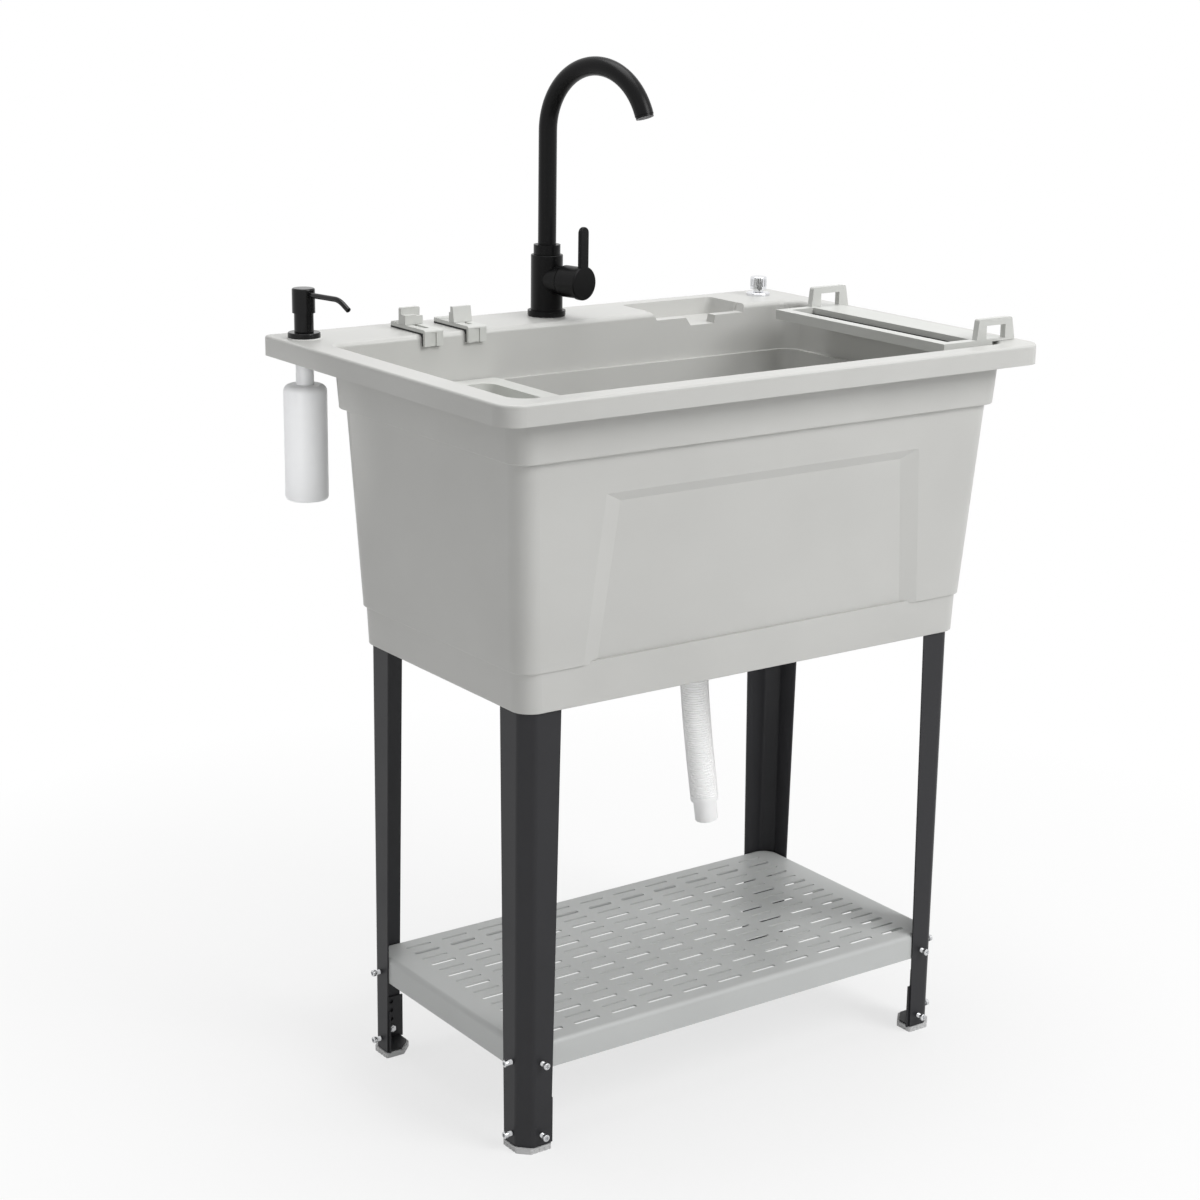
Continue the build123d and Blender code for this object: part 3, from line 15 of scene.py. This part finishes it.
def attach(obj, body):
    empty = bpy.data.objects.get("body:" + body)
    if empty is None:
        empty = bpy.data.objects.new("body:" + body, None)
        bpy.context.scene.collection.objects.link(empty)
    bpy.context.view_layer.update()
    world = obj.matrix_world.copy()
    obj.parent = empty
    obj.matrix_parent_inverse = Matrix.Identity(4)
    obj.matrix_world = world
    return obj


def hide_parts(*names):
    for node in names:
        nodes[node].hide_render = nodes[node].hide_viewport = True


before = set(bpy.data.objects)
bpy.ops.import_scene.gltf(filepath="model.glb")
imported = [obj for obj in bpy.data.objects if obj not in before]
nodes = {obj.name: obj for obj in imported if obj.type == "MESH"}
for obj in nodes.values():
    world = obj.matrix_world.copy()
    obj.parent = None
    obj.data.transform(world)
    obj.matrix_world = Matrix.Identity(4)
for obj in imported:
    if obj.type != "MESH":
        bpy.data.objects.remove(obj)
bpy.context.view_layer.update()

# %% [markdown]
# ## The camera
# The photograph was taken with a long lens, a little above the rim, from the left front.
# A camera is a place and three directions, so its matrix is built from a turn about the
# sink, a tilt downwards and a slight roll. That is easier to check than three angles.

# %% Place the camera
scene = bpy.context.scene
turn, tilt, roll = (math.radians(a) for a in (-35.38, 15.46, 0.79))
backwards = Vector((math.sin(turn) * math.cos(tilt), -math.cos(turn) * math.cos(tilt), math.sin(tilt)))
sideways = Vector((math.cos(turn), math.sin(turn), 0))
upwards = backwards.cross(sideways)
camera_x = sideways * math.cos(roll) + upwards * math.sin(roll)
camera_y = upwards * math.cos(roll) - sideways * math.sin(roll)
camera = bpy.data.objects.new("studio_camera", bpy.data.cameras.new("studio_camera"))
scene.collection.objects.link(camera)
camera.data.sensor_width = 36
camera.data.lens = 2440.67 / 1200 * 36
camera.matrix_world = Matrix.Translation((-1.65669, -2.23119, 1.31709)) @ Matrix(
    (camera_x, camera_y, backwards)
).transposed().to_4x4()
scene.camera = camera
print("lens", round(camera.data.lens, 1), "mm")

# %% [markdown]
# ## The drain hose
# A ribbed hose is blow-moulded, so it is a smooth tube whose radius swells and shrinks
# along a curved line. The line is a NURBS curve with one control point for each place
# where the hose bends. A curve can't carry ribs, so a mesh tube follows it.

# %% Draw the line of the hose
hose_stops = [
    (0.0440, -0.031, 0.500),
    (0.0440, -0.031, 0.460),
    (0.0495, -0.031, 0.406),
    (0.0570, -0.031, 0.352),
    (0.0650, -0.031, 0.299),
]
hose_curve = bpy.data.curves.new("hose_line", "CURVE")
hose_curve.dimensions = "3D"
hose_curve.resolution_u = 24
hose_spline = hose_curve.splines.new("NURBS")
hose_spline.points.add(len(hose_stops) - 1)
for point, stop in zip(hose_spline.points, hose_stops):
    point.co = (*stop, 1)
hose_spline.order_u = 3
hose_spline.use_endpoint_u = True
hose_line = bpy.data.objects.new("hose_line", hose_curve)
scene.collection.objects.link(hose_line)
bpy.context.view_layer.update()
sampled = bpy.data.meshes.new_from_object(hose_line.evaluated_get(bpy.context.evaluated_depsgraph_get()))
hose_path = [v.co.copy() for v in sampled.vertices]
bpy.data.objects.remove(hose_line)
hose_length = sum((b - a).length for a, b in zip(hose_path, hose_path[1:]))
print("hose line", len(hose_path), "points,", round(hose_length, 4), "m")

# %% [markdown]
# A tube is a circle carried along the line. Each ring of the tube is a small circle made
# by an operator, set across the line, and bridged to the one before it. Four rings make a
# rib: two in the valley and two on the crest, as on the moulded hose. All sizes are metres.


# %% Helpers that start and finish a mesh piece
def new_piece(name, body, build):
    """Make an object from a function that fills a bmesh, and let it ride on a CAD body."""
    shape = bmesh.new()
    build(shape)
    mesh = bpy.data.meshes.new(name)
    shape.to_mesh(mesh)
    shape.free()
    piece = bpy.data.objects.new(name, mesh)
    scene.collection.objects.link(piece)
    if body:
        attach(piece, body)
    print(name, "faces:", len(mesh.polygons))
    return piece


def smooth(piece, angle=40):
    """Shade smoothly, but keep edges sharper than an angle."""
    for polygon in piece.data.polygons:
        polygon.use_smooth = True
    shape = bmesh.new()
    shape.from_mesh(piece.data)
    for edge in shape.edges:
        edge.smooth = len(edge.link_faces) == 2 and edge.calc_face_angle(0) < math.radians(angle)
    shape.to_mesh(piece.data)
    shape.free()


# %% A place and direction anywhere along the hose
def along(path, distance):
    """Point and direction at a distance along a path of points."""
    for a, b in zip(path, path[1:]):
        step = (b - a).length
        if distance <= step + 1e-9 or b is path[-1]:
            return a + (b - a) * (distance / step), (b - a).normalized()
        distance -= step


# %% Build the ribbed hose
def ribbed_hose(shape):
    crest, valley, bore, pitch = 0.0170, 0.0160, 0.0150, 0.0030
    bore_steps, segments = 16, 48
    count = int((hose_length - 2 * pitch) / pitch)
    margin = (hose_length - count * pitch) / 2
    stations = [(0, crest), (margin * 0.8, crest)]
    for rib in range(count):
        for share, radius in ((0.0, valley), (0.3, valley), (0.45, crest), (0.85, crest)):
            stations.append((margin + (rib + share) * pitch, radius))
    stations += [(hose_length - margin * 0.6, crest), (hose_length, crest)]
    inner = [(hose_length * (1 - step / bore_steps), bore) for step in range(bore_steps + 1)]
    rings = []
    for distance, radius in stations + inner:
        point, way = along(hose_path, distance)
        side = Vector((0, 1, 0))
        place = Matrix((way.cross(side).normalized(), side, way)).transposed().to_4x4()
        place = Matrix.Translation(point) @ place
        made = bmesh.ops.create_circle(shape, segments=segments, radius=radius, matrix=place)
        verts = set(made["verts"])
        rings.append([e for v in verts for e in v.link_edges if e.verts[0] is v])
    for before, after in zip(rings, rings[1:] + rings[:1]):
        bmesh.ops.bridge_loops(shape, edges=before + after)
    bmesh.ops.recalc_face_normals(shape, faces=shape.faces)


hose = new_piece("drain_hose_ribbed", "frame", ribbed_hose)
smooth(hose, 30)
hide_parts("drain_hose")

# %% [markdown]
# ## Threads on the screws
# The screws stand proud of the legs, so their threads show. A thread at this size reads as
# a row of fine ridges, so each screw gets a few cone-shaped rings made by spinning a
# zigzag once around the screw's own axis.

# %% Where the sixteen screws stand
leg_x, leg_front_y, leg_rear_y = 0.3062, -0.1957, 0.1367
front_inset, side_inset = 0.0255, 0.022
shelf_height, foot_height = 0.107, 0.020
screw_spots = []
for height in (shelf_height, foot_height):
    for side in (-1, 1):
        for y, facing in ((leg_front_y, -1), (leg_rear_y, 1)):
            on_front = Vector((side * (leg_x - front_inset), y, height))
            on_side = Vector((side * leg_x, y - facing * side_inset, height))
            screw_spots.append((on_front, Vector((0, facing, 0))))
            screw_spots.append((on_side, Vector((side, 0, 0))))
print("screws:", len(screw_spots))


# %% Spin the threads
def screw_threads(shape):
    pitch, low, high = 0.0008, 0.0003, 0.0062
    root, crest = 0.00252, 0.00285
    for spot, way in screw_spots:
        steps = int((high - low) / pitch)
        chain = []
        for step in range(steps + 1):
            chain.append(Vector((root, 0, low + step * pitch)))
            if step < steps:
                chain.append(Vector((crest, 0, low + (step + 0.5) * pitch)))
        place = Matrix.Translation(spot) @ way.to_track_quat("Z", "Y").to_matrix().to_4x4()
        verts = [shape.verts.new(place @ p) for p in chain]
        edges = [shape.edges.new(pair) for pair in zip(verts, verts[1:])]
        bmesh.ops.spin(
            shape,
            geom=verts + edges,
            cent=spot,
            axis=way,
            angle=math.tau,
            steps=20,
            use_merge=True,
        )
    bmesh.ops.recalc_face_normals(shape, faces=shape.faces)


threads = new_piece("screw_threads", "frame", screw_threads)
smooth(threads, 50)

# %% [markdown]
# ## Finishes
# A finish in Blender is a small tree of nodes around one shader. Two helpers keep the
# cells short: one turns a screen colour into the linear numbers that light needs, and one
# adds a node with its settings and links.


# %% Helpers for finishes
def srgb(code):
    """Linear colour of a hex colour as seen on a screen."""
    values = [int(code[i : i + 2], 16) / 255 for i in (1, 3, 5)]
    return (*[v / 12.92 if v <= 0.04045 else ((v + 0.055) / 1.055) ** 2.4 for v in values], 1)


def add(tree, kind, sockets=None, **settings):
    """Add a node; a socket is given a value, or linked where it is given another node's output."""
    node = tree.nodes.new(kind)
    for key, value in settings.items():
        setattr(node, key, value)
    for key, value in (sockets or {}).items():
        if isinstance(value, bpy.types.NodeSocket):
            tree.links.new(value, node.inputs[key])
        else:
            node.inputs[key].default_value = value
    return node


def start_finish(name):
    """Empty material tree, with the object's own coordinates in metres."""
    material = bpy.data.materials.new(name)
    material.use_nodes = True
    material.node_tree.nodes.clear()
    return material, material.node_tree, add(material.node_tree, "ShaderNodeTexCoord").outputs["Object"]


def end_finish(tree, shader):
    """Send a shader to the surface."""
    add(tree, "ShaderNodeOutputMaterial", {"Surface": shader.outputs[0]})


def per_mm(size):
    """Scale of a pattern whose features are a size in millimetres."""
    return 1000 / size


def wear(material, *names):
    """Give CAD nodes or new pieces a finish."""
    for name in names:
        piece = nodes[name] if name in nodes else bpy.data.objects[name]
        if not piece.data.materials:
            piece.data.materials.append(material)
        for place in piece.material_slots:
            place.material = material


# %% [markdown]
# ### Polypropylene tub
# The tub, tray, rack and clips are injection-moulded polypropylene, light warm grey. The
# mould's spark-eroded grain makes the gloss soft, and flow in the mould gives a faint,
# wide unevenness of tone and gloss.

# %% Moulded polypropylene
def moulded_plastic(name, light, dark, gloss, grain_mm):
    material, tree, where = start_finish(name)
    flow = add(tree, "ShaderNodeTexNoise", {"Vector": where, "Scale": per_mm(180), "Detail": 2.0})
    tone = add(tree, "ShaderNodeValToRGB", {"Fac": flow.outputs["Fac"]})
    for stop, position, colour in zip(tone.color_ramp.elements, (0.35, 0.65), (dark, light)):
        stop.position = position
        stop.color = srgb(colour)
    sheen = add(
        tree,
        "ShaderNodeMapRange",
        {"Value": flow.outputs["Fac"], "To Min": gloss, "To Max": gloss + 0.06},
    )
    grain = add(tree, "ShaderNodeTexNoise", {"Vector": where, "Scale": per_mm(grain_mm), "Detail": 3.0})
    relief = add(
        tree,
        "ShaderNodeBump",
        {"Strength": 0.12, "Distance": 0.0003, "Height": grain.outputs["Fac"]},
    )
    shader = add(
        tree,
        "ShaderNodeBsdfPrincipled",
        {
            "Base Color": tone.outputs["Color"],
            "Roughness": sheen.outputs["Result"],
            "Normal": relief.outputs["Normal"],
            "IOR": 1.49,
        },
    )
    end_finish(tree, shader)
    return material


tub_plastic = moulded_plastic("polypropylene_tub", "#c6c6c3", "#c1c1be", 0.34, 1.2)
accessory_plastic = moulded_plastic("polypropylene_accessories", "#cdcecb", "#c8c9c5", 0.36, 1.0)
shelf_plastic = moulded_plastic("polypropylene_shelf", "#c3c5c4", "#bec0bf", 0.40, 1.0)
pad_plastic = moulded_plastic("soft_foot_plastic", "#d2d2d2", "#c6c6c6", 0.45, 1.5)
wear(tub_plastic, "basin")
wear(accessory_plastic, "side_tray", "side_rack")
wear(accessory_plastic, "clip_rail_1", "clip_rail_2", "clip_jaw_1", "clip_jaw_2")
wear(shelf_plastic, "shelf")
wear(pad_plastic, "foot_pads")

# %% [markdown]
# ### Powder-coated steel legs
# Powder melts and flows on the sheet, and leaves a fine orange peel, about a millimetre
# from dimple to dimple. It is charcoal and half matt.

# %% Charcoal powder coat
powder, tree, where = start_finish("powder_coat_charcoal")
peel = add(tree, "ShaderNodeTexNoise", {"Vector": where, "Scale": per_mm(1.4), "Detail": 2.0})
dust = add(tree, "ShaderNodeTexNoise", {"Vector": where, "Scale": per_mm(60), "Detail": 3.0})
tone = add(
    tree,
    "ShaderNodeMix",
    {0: dust.outputs["Fac"], 6: srgb("#262628"), 7: srgb("#2e2e31")},
    data_type="RGBA",
)
sheen = add(tree, "ShaderNodeMapRange", {"Value": dust.outputs["Fac"], "To Min": 0.42, "To Max": 0.54})
relief = add(tree, "ShaderNodeBump", {"Strength": 0.25, "Distance": 0.0002, "Height": peel.outputs["Fac"]})
shader = add(
    tree,
    "ShaderNodeBsdfPrincipled",
    {
        "Base Color": tone.outputs[2],
        "Roughness": sheen.outputs["Result"],
        "Normal": relief.outputs["Normal"],
        "IOR": 1.5,
        "Specular IOR Level": 0.3,
    },
)
end_finish(tree, shader)
coated = ["leg_front_left", "leg_front_right", "leg_rear_left", "leg_rear_right", "foot_brackets"]
wear(powder, *coated)
print("powder coat on", len(coated), "pieces")

# %% [markdown]
# ### Satin black faucet
# The faucet is brass under a sprayed satin black lacquer. It is smooth, so the highlights
# are long and soft, and only a very fine mottle breaks them.

# %% Satin black lacquer
satin, tree, where = start_finish("satin_black_lacquer")
mottle = add(tree, "ShaderNodeTexNoise", {"Vector": where, "Scale": per_mm(0.9), "Detail": 2.0})
sheen = add(tree, "ShaderNodeMapRange", {"Value": mottle.outputs["Fac"], "To Min": 0.27, "To Max": 0.37})
relief = add(tree, "ShaderNodeBump", {"Strength": 0.08, "Distance": 0.0002, "Height": mottle.outputs["Fac"]})
shader = add(
    tree,
    "ShaderNodeBsdfPrincipled",
    {
        "Base Color": srgb("#0c0c0d"),
        "Roughness": sheen.outputs["Result"],
        "Normal": relief.outputs["Normal"],
        "IOR": 1.5,
        "Specular IOR Level": 0.16,
    },
)
end_finish(tree, shader)
wear(satin, "faucet_body", "faucet_base_ring", "spout_tube", "spout_collar", "lever", "aerator")

# %% [markdown]
# ### Glossy black pump
# The soap pump is polished ABS, black right through, with sharp reflections that waver a
# little where the moulding shrank.

# %% Polished black ABS
gloss_black, tree, where = start_finish("polished_black_abs")
shrink = add(tree, "ShaderNodeTexNoise", {"Vector": where, "Scale": per_mm(9), "Detail": 1.0})
sheen = add(tree, "ShaderNodeMapRange", {"Value": shrink.outputs["Fac"], "To Min": 0.10, "To Max": 0.18})
relief = add(tree, "ShaderNodeBump", {"Strength": 0.10, "Distance": 0.0004, "Height": shrink.outputs["Fac"]})
shader = add(
    tree,
    "ShaderNodeBsdfPrincipled",
    {
        "Base Color": srgb("#0e0e0f"),
        "Roughness": sheen.outputs["Result"],
        "Normal": relief.outputs["Normal"],
        "IOR": 1.53,
        "Specular IOR Level": 0.22,
    },
)
end_finish(tree, shader)
wear(gloss_black, "pump_collar", "pump_nut", "pump_sleeve", "pump_head", "pump_rod")

# %% [markdown]
# ### Blown soap bottle
# The bottle is thin natural polyethylene. Light passes through the wall and comes out
# diffused, so it gets subsurface scattering with a radius of a few millimetres.

# %% Natural polyethylene and white hose plastic
def milky_plastic(name, light, dark, gloss, depth):
    material, tree, where = start_finish(name)
    cloud = add(tree, "ShaderNodeTexNoise", {"Vector": where, "Scale": per_mm(25), "Detail": 2.0})
    tone = add(
        tree,
        "ShaderNodeMix",
        {0: cloud.outputs["Fac"], 6: srgb(dark), 7: srgb(light)},
        data_type="RGBA",
    )
    sheen = add(
        tree,
        "ShaderNodeMapRange",
        {"Value": cloud.outputs["Fac"], "To Min": gloss, "To Max": gloss + 0.1},
    )
    relief = add(
        tree,
        "ShaderNodeBump",
        {"Strength": 0.08, "Distance": 0.0004, "Height": cloud.outputs["Fac"]},
    )
    shader = add(
        tree,
        "ShaderNodeBsdfPrincipled",
        {
            "Base Color": tone.outputs[2],
            "Roughness": sheen.outputs["Result"],
            "Normal": relief.outputs["Normal"],
            "IOR": 1.51,
            "Subsurface Weight": 0.2,
            "Subsurface Radius": (depth, depth, depth),
            "Subsurface Scale": 1.0,
        },
    )
    end_finish(tree, shader)
    return material


bottle_plastic = milky_plastic("natural_polyethylene", "#fcfdfe", "#f6f7f9", 0.38, 0.004)
hose_plastic = milky_plastic("white_hose_polypropylene", "#fcfcfc", "#f6f6f6", 0.36, 0.002)
gasket_rubber = milky_plastic("white_gasket_rubber", "#e8e8e6", "#dededb", 0.55, 0.001)
wear(bottle_plastic, "soap_bottle", "dip_tube")
wear(hose_plastic, "drain_hose_ribbed", "drain_hose", "hose_cuff", "drain_tailpiece")
wear(hose_plastic, "cartridge", "pump_cylinder")
wear(gasket_rubber, "pump_gasket")

# %% [markdown]
# ### Black rubber
# Moulded rubber is matt, with a fine grain that catches a little light and shifts its tone a little.

# %% Moulded black rubber
rubber, tree, where = start_finish("black_rubber_and_painted_gap_shade")
grain = add(tree, "ShaderNodeTexNoise", {"Vector": where, "Scale": per_mm(0.8), "Detail": 3.0})
tone = add(
    tree,
    "ShaderNodeMix",
    {0: grain.outputs["Fac"], 6: srgb("#161616"), 7: srgb("#222222")},
    data_type="RGBA",
)
relief = add(tree, "ShaderNodeBump", {"Strength": 0.3, "Distance": 0.0002, "Height": grain.outputs["Fac"]})
shader = add(
    tree,
    "ShaderNodeBsdfPrincipled",
    {"Base Color": tone.outputs[2], "Roughness": 0.72, "Normal": relief.outputs["Normal"], "IOR": 1.52},
)
end_finish(tree, shader)
wear(rubber, "faucet_gasket", "spout_seal", "drain_gasket")
# The black strips under the two clips and under the rack's right bar are partly rubber pads and partly
# painted shade: they are made black and set where the gaps beneath them lie in deep shadow.
wear(rubber, "clip_rubber_1", "clip_rubber_2", "rack_rubber")

# %% [markdown]
# ### Metals
# Chrome plate is a mirror with a breath of haze. Turned brass and zinc-plated steel carry
# the fine rings that the lathe leaves, here a noise much finer than the piece. A metal
# has a metallic of 1 and takes its colour from its reflections.

# %% Chrome, plated steel and turned brass
def bare_metal(name, light, dark, smoothest, roughest, mark_mm):
    material, tree, where = start_finish(name)
    marks = add(tree, "ShaderNodeTexNoise", {"Vector": where, "Scale": per_mm(mark_mm), "Detail": 3.0})
    tone = add(
        tree,
        "ShaderNodeMix",
        {0: marks.outputs["Fac"], 6: srgb(dark), 7: srgb(light)},
        data_type="RGBA",
    )
    sheen = add(
        tree,
        "ShaderNodeMapRange",
        {"Value": marks.outputs["Fac"], "To Min": smoothest, "To Max": roughest},
    )
    shader = add(
        tree,
        "ShaderNodeBsdfPrincipled",
        {"Base Color": tone.outputs[2], "Metallic": 1.0, "Roughness": sheen.outputs["Result"]},
    )
    end_finish(tree, shader)
    return material


chrome = bare_metal("chrome_plate", "#e6e7ea", "#dcdde0", 0.04, 0.10, 6)
brass = bare_metal("turned_brass", "#dcc27f", "#cbae68", 0.22, 0.38, 1)
plated_steel = bare_metal("zinc_plated_steel", "#d7d8d9", "#c2c3c5", 0.20, 0.36, 1.2)
wear(chrome, "drain_knob", "knob_plinth", "drain_flange", "drain_stopper")
wear(brass, "shank_nut", "knob_nut", "cartridge_stem")
wear(plated_steel, "shelf_screws", "shelf_nuts", "foot_screws", "foot_nuts", "screw_threads")
wear(plated_steel, "lever_pin", "shank_washer", "pump_spring", "hose_clamp")
bare = [name for name, piece in nodes.items() if any(s.material is None for s in piece.material_slots)]
print("nodes without a finish:", bare)

# %% [markdown]
# ## The studio
# The photograph was cut out on white with a faint shadow. A white world and a floor that
# glows for the camera alone give that. Near the sink the floor stays partly paper, so that
# it keeps a shadow.


# %% The rays that see the studio white
def camera_or_mirror(tree):
    """Share of rays that come from the camera, or off or through something shiny."""
    ray = add(tree, "ShaderNodeLightPath")
    direct = add(
        tree,
        "ShaderNodeMath",
        {0: ray.outputs["Is Camera Ray"], 1: ray.outputs["Is Transmission Ray"]},
        operation="MAXIMUM",
    )
    either = add(
        tree,
        "ShaderNodeMath",
        {0: direct.outputs[0], 1: ray.outputs["Is Glossy Ray"]},
        operation="MAXIMUM",
    )
    return either.outputs[0]


# %% Floor that keeps the shadow
def floor_sheet(shape):
    bmesh.ops.create_grid(shape, x_segments=1, y_segments=1, size=12)


floor = new_piece("studio_floor", None, floor_sheet)
paper, tree, where = start_finish("pale_paper_floor")
spread = add(tree, "ShaderNodeVectorMath", {0: where}, operation="LENGTH")
far = add(
    tree,
    "ShaderNodeMapRange",
    {"Value": spread.outputs["Value"], "From Min": 0.35, "From Max": 1.3, "To Min": 0.70, "To Max": 1.0},
)
plain = add(tree, "ShaderNodeBsdfDiffuse", {"Color": srgb("#e9e9e9")})
glow = add(tree, "ShaderNodeEmission", {"Color": (1, 1, 1, 1), "Strength": 1.0})
faint = add(
    tree,
    "ShaderNodeMixShader",
    {0: far.outputs["Result"], 1: plain.outputs[0], 2: glow.outputs[0]},
)
shown = add(
    tree,
    "ShaderNodeMixShader",
    {0: camera_or_mirror(tree), 1: plain.outputs[0], 2: faint.outputs[0]},
)
end_finish(tree, shown)
floor.data.materials.append(paper)

# %% White world
world = bpy.data.worlds.new("white_studio")
scene.world = world
world.use_nodes = True
tree = world.node_tree
tree.nodes.clear()
fill = add(tree, "ShaderNodeBackground", {"Color": (1, 1, 1, 1), "Strength": 0.37})
white = add(tree, "ShaderNodeBackground", {"Color": (1, 1, 1, 1), "Strength": 1.0})
both = add(
    tree,
    "ShaderNodeMixShader",
    {0: camera_or_mirror(tree), 1: fill.outputs[0], 2: white.outputs[0]},
)
add(tree, "ShaderNodeOutputWorld", {"Surface": both.outputs[0]})

# %% [markdown]
# Three soft boxes do the modelling: a large one high at the front right, which makes the
# rim brightest and the left wall darkest, a top light, and a weak one low at the left.


# %% Soft boxes
def hang_lamp(lamp, place, target):
    """Put a lamp somewhere and aim it at a point."""
    holder = bpy.data.objects.new(lamp.name, lamp)
    scene.collection.objects.link(holder)
    aim = (Vector(target) - Vector(place)).to_track_quat("-Z", "Y")
    holder.matrix_world = Matrix.Translation(place) @ aim.to_matrix().to_4x4()
    print(lamp.name, lamp.energy, "W")


def soft_box(name, place, target, size, watts):
    lamp = bpy.data.lights.new(name, "AREA")
    lamp.shape, lamp.size, lamp.energy = "SQUARE", size, watts
    hang_lamp(lamp, place, target)


soft_box("key_light", (1.3, -2.9, 3.0), (0, 0, 0.7), 2.0, 88)
soft_box("top_light", (0.2, 0.4, 4.2), (0, 0, 0.8), 2.5, 80)
soft_box("left_fill", (-3.6, -0.8, 1.5), (0, 0, 0.5), 1.6, 3)

# %% [markdown]
# White plastic that stands in the shade of a grey tub looks grey too. Two narrow spots from
# the camera's side lift the soap bottle and the hose back to white, and touch little else.


# %% Two narrow spots
def narrow_spot(name, place, target, degrees, watts):
    lamp = bpy.data.lights.new(name, "SPOT")
    lamp.spot_size, lamp.spot_blend, lamp.energy = math.radians(degrees), 0.7, watts
    lamp.shadow_soft_size = 0.05
    hang_lamp(lamp, place, target)


narrow_spot("bottle_spot", (-1.7, -0.75, 0.8), (-0.345, 0.211, 0.745), 8, 34)
narrow_spot("hose_spot", (-1.0, -1.7, 0.34), (0.058, -0.031, 0.375), 7, 34)

# %% [markdown]
# ## Finish
# The view transform is Standard, so a colour comes out as it is written.

# %% Finish
scene.view_settings.view_transform = "Standard"
